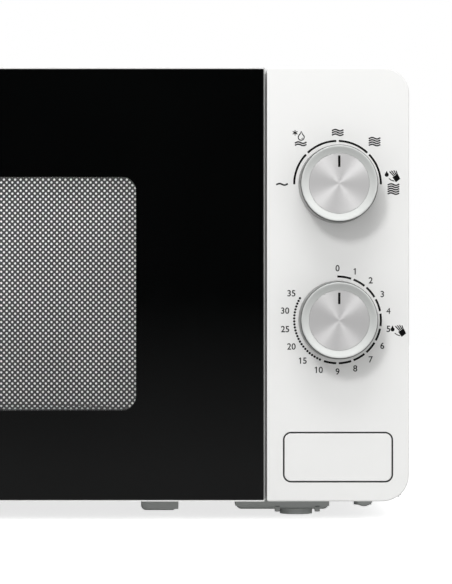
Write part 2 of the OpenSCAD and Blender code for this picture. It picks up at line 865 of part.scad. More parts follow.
module wiring_harness() {
    r = 2.6;
    route = [[room_x1 - 20, 5, 225], [room_x1 - 8, -15, 222], [room_x1 - 8, -62, 190],
        [room_x1 - 8, -80, 120], [room_x1 - 10, -50, 98], [room_x1 - 10, 30, 96],
        [room_x1 - 12, 52, 60]];
    color("firebrick") union() {
        for (i = [0 : len(route) - 2]) rod(route[i], route[i + 1], r);
        for (p = route) translate(p) sphere(r = r + 0.6);
    }
}

// Round rod between two points
module rod(a, b, r) {
    d = b - a;
    translate(a) rotate([0, acos(d[2] / norm(d)), atan2(d[1], d[0])]) cylinder(h = norm(d), r = r);
}

// ---------------------------------------------------------------- turntable

module turntable_coupler() {
    color("ivory") translate([tray_x, tray_y, 0]) union() {
        translate([0, 0, track_z - sheet - 0.1]) cylinder(h = 8, r = drive_r);
        translate([0, 0, track_z + 0.4]) cylinder(h = tray_z - track_z - 1.4, r = 11);
        for (a = [30 : 120 : 300]) rotate([0, 0, a]) translate([0, -3, tray_z - 7]) cube([19, 6, 6.4]);
    }
}

module glass_tray() {
    r = tray_d / 2;
    color([0.8, 0.9, 0.9]) translate([tray_x, tray_y, tray_z]) union() {
        rotate_extrude($fn = 128) polygon([
            [0, 0], [r - 16, 0], [r - 2, tray_rim - tray_t + 1], [r, tray_rim - 2.5],
            [r - 1, tray_rim], [r - 3, tray_rim - 0.6], [r - 17, tray_t], [0, tray_t]]);
        for (a = [90 : 120 : 330]) rotate([0, 0, a]) translate([12, -3, -3.5]) cube([6, 6, 3.6]);
    }
}

module roller_ring() {
    color("ivory") translate([tray_x, tray_y, roller_z]) union() {
        difference() {
            translate([0, 0, -2.5]) cylinder(h = 5, r = roller_pcr - roller_w / 2 - 1);
            translate([0, 0, -4]) cylinder(h = 8, r = roller_pcr - roller_w / 2 - 7);
        }
        for (a = roller_angles()) rotate([0, 0, a]) {
            translate([roller_pcr - roller_w / 2 - 2, 0, 0]) rotate([0, 90, 0])
                cylinder(h = roller_w + 3.5, r = axle_r);
            translate([roller_pcr + roller_w / 2 + 0.6, 0, 0]) rotate([0, 90, 0])
                cylinder(h = 1.2, r = axle_r + 0.6);
        }
    }
}

function roller_angles() = [-90, 30, 150];

module roller(a) {
    color("whitesmoke") translate([tray_x, tray_y, roller_z]) rotate([0, 0, a])
        translate([roller_pcr - roller_w / 2, 0, 0]) rotate([0, 90, 0]) difference() {
            cylinder(h = roller_w, r = roller_r);
            translate([0, 0, -1]) cylinder(h = roller_w + 2, r = axle_r + axle_run);
        }
}

module roller_front() { roller(roller_angles()[0]); }

module roller_right() { roller(roller_angles()[1]); }

module roller_left() { roller(roller_angles()[2]); }

// ---------------------------------------------------------------- drawing

cabinet_wrap();
rear_plate();
base_plate();
feet();
rear_spacers();
cord_gland();
cabinet_screws();
control_panel();
front_plate();
cavity_walls();
cavity_floor();
cavity_back();
waveguide();
waveguide_cover();
lamp_holder();
cavity_lamp();
turntable_motor();
hinge_brackets();
latch_bracket();
interlock_switches();
timer_unit();
timer_bell();
magnetron_yoke();
magnetron_anode();
magnetron_fins();
magnetron_magnets();
transformer_core();
transformer_coils();
hv_capacitor();
capacitor_clamp();
hv_diode();
fan_motor();
fan_shroud();
filter_board();
mains_fuse();
thermal_cutouts();
wiring_harness();
door_frame();
door_glass();
door_inner_panel();
door_screen();
door_film();
choke_cover();
latch_hook();
latch_spring();
release_button();
release_lever();
lever_spring();
power_knob();
power_shaft();
timer_knob();
timer_shaft();
fan_blade();
turntable_coupler();
roller_ring();
roller_front();
roller_left();
roller_right();
glass_tray();
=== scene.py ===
# %% [markdown]
# # A compact microwave oven, dressed around its CAD frame
# The CAD model holds every part of the oven at its true size and on its true joint. This script
# loads it, rebuilds the parts that the eye dwells on with rounded edges and fine detail, and gives
# every surface a procedural finish. Nothing here moves a CAD part.

# %% Load the frame and keep its box
import json
import math

import bmesh
import bpy
from mathutils import Matrix, Vector

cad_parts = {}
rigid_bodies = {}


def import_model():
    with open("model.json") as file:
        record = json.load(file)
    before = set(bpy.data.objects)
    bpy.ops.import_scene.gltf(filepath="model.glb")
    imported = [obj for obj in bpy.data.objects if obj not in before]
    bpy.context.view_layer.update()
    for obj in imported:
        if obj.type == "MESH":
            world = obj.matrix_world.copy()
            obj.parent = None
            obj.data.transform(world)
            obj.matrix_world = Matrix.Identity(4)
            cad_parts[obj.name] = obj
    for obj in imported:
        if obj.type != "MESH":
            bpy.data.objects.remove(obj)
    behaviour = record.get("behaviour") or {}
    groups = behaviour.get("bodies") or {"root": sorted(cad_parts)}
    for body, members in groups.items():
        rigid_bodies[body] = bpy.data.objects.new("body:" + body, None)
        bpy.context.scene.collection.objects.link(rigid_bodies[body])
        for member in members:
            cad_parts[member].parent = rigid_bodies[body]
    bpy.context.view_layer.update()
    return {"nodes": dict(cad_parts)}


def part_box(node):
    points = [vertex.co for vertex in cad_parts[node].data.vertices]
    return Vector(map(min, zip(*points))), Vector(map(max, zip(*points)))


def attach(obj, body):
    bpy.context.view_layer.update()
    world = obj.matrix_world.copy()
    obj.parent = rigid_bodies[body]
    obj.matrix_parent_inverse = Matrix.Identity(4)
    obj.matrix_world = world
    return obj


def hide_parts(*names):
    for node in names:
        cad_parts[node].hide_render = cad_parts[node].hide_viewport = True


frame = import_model()
nodes = frame["nodes"]

# %% [markdown]
# ## Sizes that the looks share
# Places are read from the CAD boxes, so the new pieces land where the CAD parts are. Small radii,
# gaps and widths that no box holds are given by name, in metres.

# %% Places read from the CAD model
MM = 0.001
panel_low, panel_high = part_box("control_panel")
glass_low, glass_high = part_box("door_glass")
film_low, film_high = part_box("door_film")
button_low, button_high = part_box("release_button")
FACE_Y = panel_low.y
FILM_MARGIN = 7.6 * MM
window_low = film_low + Vector((FILM_MARGIN, 0, FILM_MARGIN))
window_high = film_high - Vector((FILM_MARGIN, 0, FILM_MARGIN))
WINDOW_R = 7.7 * MM
CORNER_R = 15 * MM
INK = 0.06 * MM


def middle(name):
    """Centre of a CAD node's box."""
    low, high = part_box(name)
    return (low + high) / 2


print("window in mm:", [round(v / MM, 1) for v in (window_high - window_low)])

# %% [markdown]
# ## The camera
# A long lens from straight ahead keeps the panel's verticals parallel. The camera stands a little
# above the middle of the oven, and a small shift slides the frame to the right half of the front
# without turning the camera.

# %% Camera
CAMERA_DISTANCE = 1.6
EYE_LEFT_OF_PANEL, EYE_ABOVE_PANEL = 45.9 * MM, 131.3 * MM   # from the panel's lower left corner
camera = bpy.data.objects.new("camera", bpy.data.cameras.new("camera"))
bpy.context.scene.collection.objects.link(camera)
camera.location = (panel_low.x - EYE_LEFT_OF_PANEL, FACE_Y - CAMERA_DISTANCE,
                   panel_low.z + EYE_ABOVE_PANEL)
camera.rotation_euler = (math.pi / 2, 0, 0)
camera.data.sensor_width = 36
camera.data.lens = 173.9
camera.data.shift_x = 0.0685
camera.data.shift_y = -0.0377
bpy.context.scene.camera = camera
bpy.context.scene.view_settings.view_transform = "Standard"
print("camera at", [round(v, 4) for v in camera.location])

# %% [markdown]
# ## Node groups for the effects that finishes share
# Moulded plastic, enamel and rolled metal all show the same three things at different strengths:
# a fine grain that breaks up the highlight, a slow mottle in tone, and hand marks that change the
# gloss. Each is one node group with named inputs, used by every material with its own values.

# %% Node group helper
def new_group(name, inputs, outputs):
    """A shader node group with float inputs {name: default} and float outputs."""
    group = bpy.data.node_groups.new(name, "ShaderNodeTree")
    for label, default in inputs.items():
        made = group.interface.new_socket(label, in_out="INPUT", socket_type="NodeSocketFloat")
        made.default_value = default
    for label in outputs:
        group.interface.new_socket(label, in_out="OUTPUT", socket_type="NodeSocketFloat")
    return group, group.nodes.new("NodeGroupInput"), group.nodes.new("NodeGroupOutput")


def noise(tree, vector, scale, detail):
    """A noise texture on a vector socket, at a fixed or linked scale."""
    made = tree.nodes.new("ShaderNodeTexNoise")
    made.inputs["Detail"].default_value = detail
    tree.links.new(vector, made.inputs["Vector"])
    if isinstance(scale, (int, float)):
        made.inputs["Scale"].default_value = scale
    else:
        tree.links.new(scale, made.inputs["Scale"])
    return made.outputs["Fac"]


def remap(tree, value, low, high, to_low, to_high):
    """Map Range with fixed ends."""
    made = tree.nodes.new("ShaderNodeMapRange")
    for label, number in (("From Min", low), ("From Max", high), ("To Min", to_low), ("To Max", to_high)):
        made.inputs[label].default_value = number
    tree.links.new(value, made.inputs["Value"])
    return made.outputs["Result"]


def math_node(tree, operation, a, b):
    """A Math node; a and b are sockets or numbers."""
    made = tree.nodes.new("ShaderNodeMath")
    made.operation = operation
    for slot, value in enumerate((a, b)):
        if isinstance(value, (int, float)):
            made.inputs[slot].default_value = value
        else:
            tree.links.new(value, made.inputs[slot])
    return made.outputs[0]


# %% The grain, mottle and hand-mark groups
grain_group, ends_in, ends_out = new_group("surface_grain", {"Scale": 900.0}, ["Height"])
place = grain_group.nodes.new("ShaderNodeTexCoord").outputs["Object"]
grain_group.links.new(noise(grain_group, place, ends_in.outputs["Scale"], 3.0), ends_out.inputs["Height"])

mottle_group, ends_in, ends_out = new_group("slow_mottle", {"Scale": 18.0}, ["Tone"])
place = mottle_group.nodes.new("ShaderNodeTexCoord").outputs["Object"]
cloud = noise(mottle_group, place, ends_in.outputs["Scale"], 4.0)
mottle_group.links.new(remap(mottle_group, cloud, 0.3, 0.7, 0.0, 1.0), ends_out.inputs["Tone"])

hand_group, ends_in, ends_out = new_group("hand_marks", {"Scale": 60.0}, ["Mark"])
place = hand_group.nodes.new("ShaderNodeTexCoord").outputs["Object"]
smear = noise(hand_group, place, ends_in.outputs["Scale"], 5.0)
patch = noise(hand_group, place, 7.0, 2.0)
both = math_node(hand_group, "MULTIPLY", remap(hand_group, smear, 0.45, 0.7, 0.0, 1.0),
                 remap(hand_group, patch, 0.45, 0.65, 0.0, 1.0))
hand_group.links.new(both, ends_out.inputs["Mark"])
print("node groups:", [g.name for g in bpy.data.node_groups])

# %% [markdown]
# ## Materials
# One function builds most finishes: a base colour that drifts slightly with the mottle, a roughness
# that the hand marks raise, and a bump from the grain. What differs between mouldings, enamel and
# zinc is only the strength and scale of each.

# %% Shared material builder
HAND_SCALE = 60.0   # size of the hand marks, the same on every finish
GRAIN_DEPTH = 0.2 * MM   # how far a full-strength grain stands proud


def use_group(tree, group, scale):
    made = tree.nodes.new("ShaderNodeGroup")
    made.node_tree = group
    made.inputs["Scale"].default_value = scale
    return made.outputs[0]


def drift(tree, factor, colour_a, colour_b):
    """Base Color wanders between two colours."""
    mix = tree.nodes.new("ShaderNodeMix")
    mix.data_type = "RGBA"
    mix.inputs["A"].default_value = (*colour_a, 1)
    mix.inputs["B"].default_value = (*colour_b, 1)
    tree.links.new(factor, mix.inputs["Factor"])
    tree.links.new(mix.outputs["Result"], tree.nodes["Principled BSDF"].inputs["Base Color"])


def relief(tree, height, strength, depth):
    """A bump on the shader's normal."""
    bump = tree.nodes.new("ShaderNodeBump")
    bump.inputs["Strength"].default_value = strength
    bump.inputs["Distance"].default_value = depth
    tree.links.new(height, bump.inputs["Height"])
    tree.links.new(bump.outputs["Normal"], tree.nodes["Principled BSDF"].inputs["Normal"])


# %% One finish
def finish(name, colour, rough, metallic=0.0, tone=0.04, grain=900.0, bump=0.05, mottle=18.0,
           coat=0.0, marks=0.06, specular=0.5):
    """A procedural finish. tone is how far the colour drifts, bump the grain's strength."""
    made = bpy.data.materials.new(name)
    made.use_nodes = True
    tree = made.node_tree
    shader = tree.nodes["Principled BSDF"]
    shader.inputs["Metallic"].default_value = metallic
    shader.inputs["Coat Weight"].default_value = coat
    shader.inputs["Coat Roughness"].default_value = 0.08
    shader.inputs["Specular IOR Level"].default_value = specular
    drift(tree, use_group(tree, mottle_group, mottle), colour, [c * (1 - tone) for c in colour])
    worn = math_node(tree, "MULTIPLY", use_group(tree, hand_group, HAND_SCALE), marks)
    tree.links.new(math_node(tree, "ADD", worn, rough), shader.inputs["Roughness"])
    relief(tree, use_group(tree, grain_group, grain), bump, GRAIN_DEPTH)
    return made


# %% Plain finishes
white_moulding = finish("white_moulding", (0.80, 0.80, 0.79), 0.42, tone=0.015, grain=1800, bump=0.08)
white_enamel = finish("white_enamel", (0.80, 0.80, 0.785), 0.32, tone=0.02, grain=420, bump=0.06, coat=0.2)
cavity_enamel = finish("cavity_enamel", (0.80, 0.805, 0.79), 0.3, tone=0.05, grain=420, bump=0.05)
zinc = finish("zinc_sheet", (0.60, 0.61, 0.61), 0.42, metallic=0.6, tone=0.1, grain=600, mottle=140)
grey_base = finish("grey_painted_base", (0.33, 0.345, 0.335), 0.5, tone=0.08, grain=500, bump=0.15)
screen_paint = finish("screen_paint", (0.044, 0.044, 0.046), 0.55, tone=0.1, grain=1500)
grey_plastic = finish("grey_moulding", (0.30, 0.30, 0.30), 0.5, tone=0.05, grain=1500, bump=0.12)
black_plastic = finish("black_moulding", (0.018, 0.018, 0.018), 0.45, tone=0.15, grain=1500, bump=0.12)
nylon = finish("natural_nylon", (0.72, 0.69, 0.60), 0.45, tone=0.06, grain=1200)
foot_rubber = finish("foot_rubber", (0.52, 0.54, 0.525), 0.6, tone=0.12, grain=1100, bump=0.25)
mica_sheet = finish("mica_sheet", (0.50, 0.42, 0.30), 0.35, tone=0.4, mottle=240, grain=300, coat=0.3)
copper = finish("enamelled_copper", (0.62, 0.26, 0.13), 0.3, metallic=0.9, tone=0.15, grain=700)
dark_iron = finish("varnished_iron", (0.09, 0.095, 0.10), 0.45, metallic=0.5, tone=0.25, grain=300)
board_green = finish("board_green", (0.02, 0.12, 0.045), 0.3, tone=0.25, mottle=300, coat=0.4)
red_cable = finish("red_sleeving", (0.38, 0.03, 0.025), 0.5, tone=0.15, grain=900, bump=0.3)
spring_wire = finish("spring_wire", (0.55, 0.55, 0.56), 0.28, metallic=1.0, tone=0.1, grain=900)
ink_black = finish("dial_ink", (0.004, 0.004, 0.004), 0.6, tone=0.2, grain=1500, specular=0.05)
ink_grey = finish("dial_ink_grey", (0.02, 0.02, 0.02), 0.6, tone=0.2, grain=1500, specular=0.05)
satin_silver = finish("satin_silver", (0.45, 0.46, 0.45), 0.55, metallic=0.4, tone=0.03, grain=1400)
# A grey that paints the shade of the gap between the door and the panel.
gap_shade_grey = finish("gap_shade_grey", (0.5, 0.505, 0.5), 0.45, tone=0.04, grain=900)
# A darker copy of the knobs' satin finish, put on their sides as painted shade.
knob_side_shade = finish("satin_side_painted_shade", (0.2, 0.205, 0.2), 0.3, metallic=0.9, tone=0.03, grain=1400)
black_glass = finish("black_glass", (0.0016, 0.0018, 0.0018), 0.03, tone=0.2, grain=60, bump=0.0,
                     marks=0.05)
print("plain finishes:", len(bpy.data.materials))

# %% [markdown]
# ## Clear glass
# The window, the inner film and the tray let light through. Thin glass in front of the screen needs
# no bending of light, so a plain transmission with a low roughness is enough; the pressed tray has
# a faint ripple in its bump, as pressed glass does.

# %% Clear finishes
def clear(name, colour, rough, ripple, ior=1.45):
    made = finish(name, colour, rough, tone=0.02, grain=ripple, bump=0.03, marks=0.03)
    shader = made.node_tree.nodes["Principled BSDF"]
    shader.inputs["Transmission Weight"].default_value = 1.0
    shader.inputs["IOR"].default_value = ior
    return made


window_glass = clear("window_glass", (1.0, 1.0, 1.0), 0.0, 50, ior=1.02)
tray_glass = clear("tray_glass", (0.93, 0.985, 0.97), 0.03, 90)
lamp_glass = clear("lamp_glass", (1.0, 0.97, 0.9), 0.05, 90)
print("clear finishes:", [m.name for m in (window_glass, tray_glass, lamp_glass)])

# %% [markdown]
# ## Spun aluminium
# The knob caps are turned on a lathe, which leaves concentric grooves. Grooves spread a highlight
# across themselves, so a light shows as a bright ray through the centre. An anisotropic shader does
# this when its tangent points away from the knob's axis, which Object coordinates give. Faint rings
# in the bump and in the roughness keep the metal from looking computed.

# %% Vector maths
def vector_math(tree, operation, vector, constant=None, output="Vector"):
    """A Vector Math node on a socket, with a fixed second vector where it needs one."""
    made = tree.nodes.new("ShaderNodeVectorMath")
    made.operation = operation
    tree.links.new(vector, made.inputs[0])
    if constant is not None:
        made.inputs[1].default_value = constant
    return made.outputs[output]


# %% Spun aluminium around one knob's axis
RINGS_PER_METRE = 4000


def spun_metal(name, axis_point):
    """Metal turned about an axis along Y through axis_point."""
    made = bpy.data.materials.new(name)
    made.use_nodes = True
    tree = made.node_tree
    shader = tree.nodes["Principled BSDF"]
    shader.inputs["Metallic"].default_value = 0.6
    shader.inputs["Anisotropic"].default_value = 0.8
    place = tree.nodes.new("ShaderNodeTexCoord").outputs["Object"]
    from_axis = vector_math(tree, "MULTIPLY", vector_math(tree, "SUBTRACT", place, axis_point), (1, 0, 1))
    turn = tree.nodes.new("ShaderNodeVectorTransform")
    turn.vector_type = "VECTOR"
    turn.convert_from = "OBJECT"
    turn.convert_to = "WORLD"
    tree.links.new(vector_math(tree, "NORMALIZE", from_axis), turn.inputs[0])
    tree.links.new(turn.outputs[0], shader.inputs["Tangent"])
    rings = tree.nodes.new("ShaderNodeTexNoise")
    rings.noise_dimensions = "1D"
    rings.inputs["Scale"].default_value = RINGS_PER_METRE
    rings.inputs["Detail"].default_value = 3
    tree.links.new(vector_math(tree, "LENGTH", from_axis, output="Value"), rings.inputs["W"])
    tree.links.new(remap(tree, rings.outputs["Fac"], 0.2, 0.8, 0.42, 0.5), shader.inputs["Roughness"])
    drift(tree, rings.outputs["Fac"], (0.48, 0.475, 0.475), (0.54, 0.535, 0.535))
    relief(tree, rings.outputs["Fac"], 0.06, GRAIN_DEPTH / 2)
    return made


# %% [markdown]
# ## Finishes for the CAD parts
# Parts whose CAD shape is already right only need a finish. A table from material to node names is
# easier to read and to check than sixty assignments, and a loop fills the slots.

# %% Dress the CAD nodes
dressing = {
    white_enamel: ["cabinet_wrap", "front_plate"],
    cavity_enamel: ["cavity_walls", "cavity_floor", "cavity_back"],
    white_moulding: ["rear_spacers", "control_panel", "door_frame", "latch_hook", "release_button",
                     "fan_blade", "roller_front", "roller_left", "roller_right"],
    zinc: ["rear_plate", "cabinet_screws", "waveguide", "turntable_motor", "hinge_brackets",
           "timer_unit", "timer_bell", "magnetron_yoke", "hv_capacitor", "capacitor_clamp",
           "mains_fuse", "power_shaft", "timer_shaft", "magnetron_fins", "power_knob", "timer_knob"],
    grey_base: ["base_plate"],
    screen_paint: ["door_inner_panel", "door_screen"],
    grey_plastic: ["choke_cover"],
    black_plastic: ["cord_gland", "interlock_switches", "hv_diode", "thermal_cutouts"],
    nylon: ["lamp_holder", "latch_bracket", "fan_shroud", "release_lever", "turntable_coupler",
            "roller_ring"],
    foot_rubber: ["feet"],
    mica_sheet: ["waveguide_cover"],
    copper: ["magnetron_anode", "transformer_coils"],
    dark_iron: ["magnetron_magnets", "transformer_core", "fan_motor"],
    board_green: ["filter_board"],
    red_cable: ["wiring_harness"],
    spring_wire: ["latch_spring", "lever_spring"],
    black_glass: ["door_glass"],
    window_glass: ["door_film"],
    tray_glass: ["glass_tray"],
    lamp_glass: ["cavity_lamp"],
}
for material, names in dressing.items():
    for name in names:
        nodes[name].data.materials.clear()
        nodes[name].data.materials.append(material)
dressed = {name for names in dressing.values() for name in names}
print("dressed", len(dressed), "of", len(nodes), "nodes; left:", sorted(set(nodes) - dressed))

# %% [markdown]
# ## Building plates with rounded edges
# The front of the oven is made of plates: the panel, the button, the glass. A real moulding never
# has a razor edge, and the edge's highlight is what makes it look real. Each plate is built from
# rings of vertices that follow its outline, bridged one to the next round the edge, with the front
# and back filled so that holes stay open.

# %% Outlines
def rounded(low_x, high_x, low_z, high_z, radius, steps=10):
    """Points of a rectangle with round corners; radius is one number or (left, right)."""
    left, right = radius if isinstance(radius, tuple) else (radius, radius)
    points = []
    corners = ((high_x, low_z, right, -90), (high_x, high_z, right, 0),
               (low_x, high_z, left, 90), (low_x, low_z, left, 180))
    for x, z, r, start in corners:
        cx = x - r if x == high_x else x + r
        cz = z - r if z == high_z else z + r
        bend = max(r, 0.02 * MM)
        for k in range(steps + 1):
            a = math.radians(start + 90 * k / steps)
            points.append((cx + bend * math.cos(a), cz + bend * math.sin(a)))
    return points


def box_rim(low, high, inset, radius, steps=10):
    """The outline of a box seen from the front, drawn in by inset."""
    return rounded(low.x + inset, high.x - inset, low.z + inset, high.z - inset, radius, steps)


def round_hole(cx, cz, radius, inset=0.0, steps=48):
    """Points of a circle."""
    turns = [2 * math.pi * k / steps for k in range(steps)]
    return [(cx + (radius - inset) * math.cos(a), cz + (radius - inset) * math.sin(a)) for a in turns]


# %% Rings, bridges and plates
def ring(mesh, points, y):
    """A closed loop of edges at depth y."""
    verts = [mesh.verts.new((x, y, z)) for x, z in points]
    return [mesh.edges.new((a, b)) for a, b in zip(verts, verts[1:] + verts[:1])]


def edge_profile(front, back, r_front, r_back, steps=5):
    """(inset, depth) steps from the front face round its edge to the back face."""
    quarter = [math.pi / 2 * k / steps for k in range(steps + 1)]
    rows = [(r_front * (1 - math.sin(a)), front + r_front * (1 - math.cos(a))) for a in quarter]
    rows += [(r_back * (1 - math.cos(a)), back - r_back * (1 - math.sin(a))) for a in quarter]
    return rows


def plate_mesh(outlines, front, back, r_front, r_back):
    """A plate between two depths. The first outline is the rim, the others are holes."""
    mesh = bmesh.new()
    first, last = [], []
    for number, outline in enumerate(outlines):
        side = 1 if number == 0 else -1
        rings = [ring(mesh, outline(side * inset), y)
                 for inset, y in edge_profile(front, back, r_front, r_back)]
        for a, b in zip(rings, rings[1:]):
            bmesh.ops.bridge_loops(mesh, edges=a + b)
        first += rings[0]
        last += rings[-1]
    bmesh.ops.triangle_fill(mesh, use_beauty=True, edges=first)
    bmesh.ops.triangle_fill(mesh, use_beauty=True, edges=last)
    bmesh.ops.remove_doubles(mesh, verts=mesh.verts, dist=0.000002)
    bmesh.ops.recalc_face_normals(mesh, faces=mesh.faces)
    return mesh


def join(target, *others):
    """Adds other bmeshes to the first, and frees them."""
    for other in others:
        spare = bpy.data.meshes.new("spare")
        other.to_mesh(spare)
        other.free()
        target.from_mesh(spare)
        bpy.data.meshes.remove(spare)
    return target


FLAT = 0.99999   # a face whose normal is this close to Y is square to the front
SHARP_ANGLE = 35   # degrees; a steeper edge stays sharp


# %% Pieces that ride on a body
def piece(name, mesh, material, body, *replaced):
    """Turns a bmesh into an object that rides on a body and may stand for CAD nodes.

    Faces square to the front stay flat-shaded, so the rounded edges don't bend their highlights."""
    data = bpy.data.meshes.new(name)
    mesh.to_mesh(data)
    mesh.free()
    data.materials.append(material)
    data.set_sharp_from_angle(angle=math.radians(SHARP_ANGLE))
    for face in data.polygons:
        face.use_smooth = abs(face.normal.y) < FLAT
    made = bpy.data.objects.new(name, data)
    bpy.context.scene.collection.objects.link(made)
    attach(made, body)
    if replaced:
        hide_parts(*replaced)
    return made


# %% [markdown]
# ## The control panel
# One white moulding, 32 mm deep and open at the back, with two holes for the control shafts and a
# slot for the button. Its front edge is softly rounded. It is built from two plates: the face, and a
# deep frame behind it whose outline is the same, so the walls run on from the face as in a moulding.

# %% Control panel
BUTTON_GAP = 0.85 * MM
BUTTON_R = 3.7 * MM
WALL = 2.4 * MM
DOOR_SIDE_R = 1.2 * MM
SHAFT_HOLE_R = 4.4 * MM


def panel_rim(inset):
    radii = (max(DOOR_SIDE_R - inset, 0.2 * MM), CORNER_R - inset)
    return box_rim(panel_low, panel_high, inset, radii, steps=14)


def button_rim(inset, grow=0.0):
    """The button's outline; grow widens it for the slot that it sits in."""
    return box_rim(button_low, button_high, inset - grow, BUTTON_R - (inset - grow))


def button_slot(inset):
    """The slot's edge is nearly sharp, so the gap reads as a thin dark line."""
    return button_rim(0.2 * inset, BUTTON_GAP)


def shaft_hole(name):
    """The outline of the hole that a knob's shaft passes."""
    centre = middle(name)
    return lambda inset: round_hole(centre.x, centre.z, SHAFT_HOLE_R, inset)


# %% Panel from a face and a frame
def panel_mesh():
    """The face with its holes, joined to a frame that makes the side walls."""
    face = plate_mesh([panel_rim, button_slot, shaft_hole("power_knob"), shaft_hole("timer_knob")],
                      FACE_Y, FACE_Y + WALL, 0.9 * MM, 0.02 * MM)
    walls = plate_mesh([panel_rim, lambda inset: panel_rim(inset + WALL)],
                       FACE_Y + WALL - 0.02 * MM, panel_high.y, 0.01 * MM, 0.2 * MM)
    return join(face, walls)


panel = piece("control_panel_moulding", panel_mesh(), white_moulding, "oven", "control_panel")
print("control panel:", len(panel.data.polygons), "faces")

# %% [markdown]
# ## The door button
# A plain tablet with a fine bevel round its edge, a skirt that stiffens it, and the rib that pushes
# the lever. It travels back when pressed, so it rides on the button's body.

# %% Release button
TABLET_T, SKIRT_END = 3 * MM, 12 * MM
STEM_X, STEM_FRONT = panel_low.x + 20 * MM, FACE_Y + 2 * MM
STEM_W, STEM_H = 6 * MM, 3.5 * MM


def button_mesh():
    """The tablet, its skirt and its stem."""
    mesh = plate_mesh([button_rim], FACE_Y, FACE_Y + TABLET_T, 0.45 * MM, 0.1 * MM)
    skirt_inset = 1.4 * MM
    skirt = plate_mesh([lambda i: button_rim(i + skirt_inset), lambda i: button_rim(i + 2 * skirt_inset)],
                       FACE_Y + TABLET_T - 0.1 * MM, FACE_Y + SKIRT_END, 0.0001 * MM, 0.2 * MM)
    return join(mesh, skirt, stem())


def stem():
    """The rib that pushes the lever."""
    mesh = bmesh.new()
    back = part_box("release_button")[1].y
    lever_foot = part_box("release_lever")[0].z
    bmesh.ops.create_cube(mesh, size=1)
    bmesh.ops.scale(mesh, vec=(STEM_W, back - STEM_FRONT, STEM_H), verts=mesh.verts)
    bmesh.ops.translate(mesh, vec=(STEM_X, (STEM_FRONT + back) / 2, lever_foot + 0.75 * MM),
                        verts=mesh.verts)
    bmesh.ops.bevel(mesh, geom=mesh.edges[:], offset=0.4 * MM, segments=2, profile=0.5, affect="EDGES",
                    material=-1)
    return mesh


button = piece("release_button_tablet", button_mesh(), white_moulding, "button", "release_button")
print("button:", len(button.data.polygons), "faces")

# %% [markdown]
# ## Painted shade in the button's gap
# A thin dark ring closes the gap round the button a little below the surface. It is painted shade, which
# makes the gap look like a crisp dark line. It is a plate with the button's outline as its hole, and leaves
# the button free to move.

# %% Painted shade ring in the button's gap
shade_ring_mesh = plate_mesh([lambda inset: button_rim(inset, BUTTON_GAP - 0.01 * MM),
                        lambda inset: button_rim(inset, 0.08 * MM)],
                       FACE_Y + 0.45 * MM, FACE_Y + 1.2 * MM, 0.01 * MM, 0.01 * MM)
# A black ring in the gap paints its shade.
shade_ring = piece("button_seal", shade_ring_mesh, black_plastic, "oven")
print("seal gap:", round(BUTTON_GAP / MM, 2), "mm")

# %% [markdown]
# ## A strip of painted shade beside the door glass
# The frame's right edge is bevelled back from the glass, and a grey strip lies on the bevel as painted
# shade for the gap between door and panel. It is a thin box turned to lie along the bevel.

# %% Painted shade strip at the door's edge
frame_low, frame_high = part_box("door_frame")
BEVEL_W, BEVEL_D = 1.05 * MM, 3 * MM
STRIP_T, STRIP_SHORT = 0.08 * MM, 5 * MM   # STRIP_SHORT is how much shorter than the frame the strip is
gap_shade_mesh = bmesh.new()
bmesh.ops.create_cube(gap_shade_mesh, size=1)
bmesh.ops.scale(gap_shade_mesh, vec=(STRIP_T, 0.92 * math.hypot(BEVEL_W, BEVEL_D),
                                frame_high.z - frame_low.z - STRIP_SHORT), verts=gap_shade_mesh.verts)
bmesh.ops.bevel(gap_shade_mesh, geom=gap_shade_mesh.edges[:], offset=0.02 * MM, segments=1, profile=0.5,
                affect="EDGES", material=-1)
bmesh.ops.rotate(gap_shade_mesh, verts=gap_shade_mesh.verts, cent=(0, 0, 0),
                 matrix=Matrix.Rotation(-math.atan2(BEVEL_W, BEVEL_D), 3, "Z"))
bmesh.ops.translate(gap_shade_mesh, vec=(frame_high.x - BEVEL_W / 2, FACE_Y + BEVEL_D / 2 + 0.12 * MM,
                                    (frame_low.z + frame_high.z) / 2 - 1 * MM), verts=gap_shade_mesh.verts)
# The strip is painted shade: a grey sheet where the gap shows only shade.
gap_shade_strip = piece("door_edge_trim", gap_shade_mesh, gap_shade_grey, "door")
print("trim:", round((frame_high.z - frame_low.z - STRIP_SHORT) / MM, 1), "mm long")

# %% [markdown]
# ## Bosses under the base
# The sheet-steel base is pressed down into shallow bosses that stiffen it and carry the feet. Their
# corners are round because the sheet is drawn over a tool. Two nibs beside each front foot keep it
# from turning, and one half-round stud stands near the right side. The bosses are plates with round
# corners, and the stud is a bevelled cylinder on its side.

# %% Sizes of the bosses
FOOT_R = 9.5 * MM
BOSS_INNER, BOSS_OUTER = 35.8 * MM, 18.3 * MM             # how far it runs past its foot's middle
BOSS_HIGH, NIB_HIGH, MIDDLE_HIGH = 7.4 * MM, 8.9 * MM, 8.1 * MM   # how far each hangs down
NIB_OFFSET, NIB_WIDE = 11.6 * MM, 3 * MM
MIDDLE_OFFSET, MIDDLE_WIDE = 80.2 * MM, 21 * MM
BOSS_DEEP, NIB_DEEP = 30 * MM, 5 * MM
BOSS_R, MIDDLE_R, NIB_R = 3.5 * MM, 3 * MM, 0.5 * MM
STUD_R, STUD_LONG, STUD_FROM_SIDE = 5.9 * MM, 10 * MM, 23.3 * MM
base_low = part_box("base_plate")[0]
boss_front = base_low.y + 3 * MM
foot_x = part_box("feet")[1].x - FOOT_R
print("front feet", round(foot_x / MM, 1), "mm either side of the middle")


# %% Base bosses
def boss_mesh(low_x, high_x, high, depth, radius):
    """A box with round corners that hangs down by high from the casing's lower edge."""
    bottom = panel_low.z - high
    return plate_mesh([lambda inset: rounded(low_x + inset, high_x - inset, bottom + inset,
                                             panel_low.z - inset, radius - inset)],
                      boss_front, boss_front + depth, radius * 0.4, 0.1 * MM)


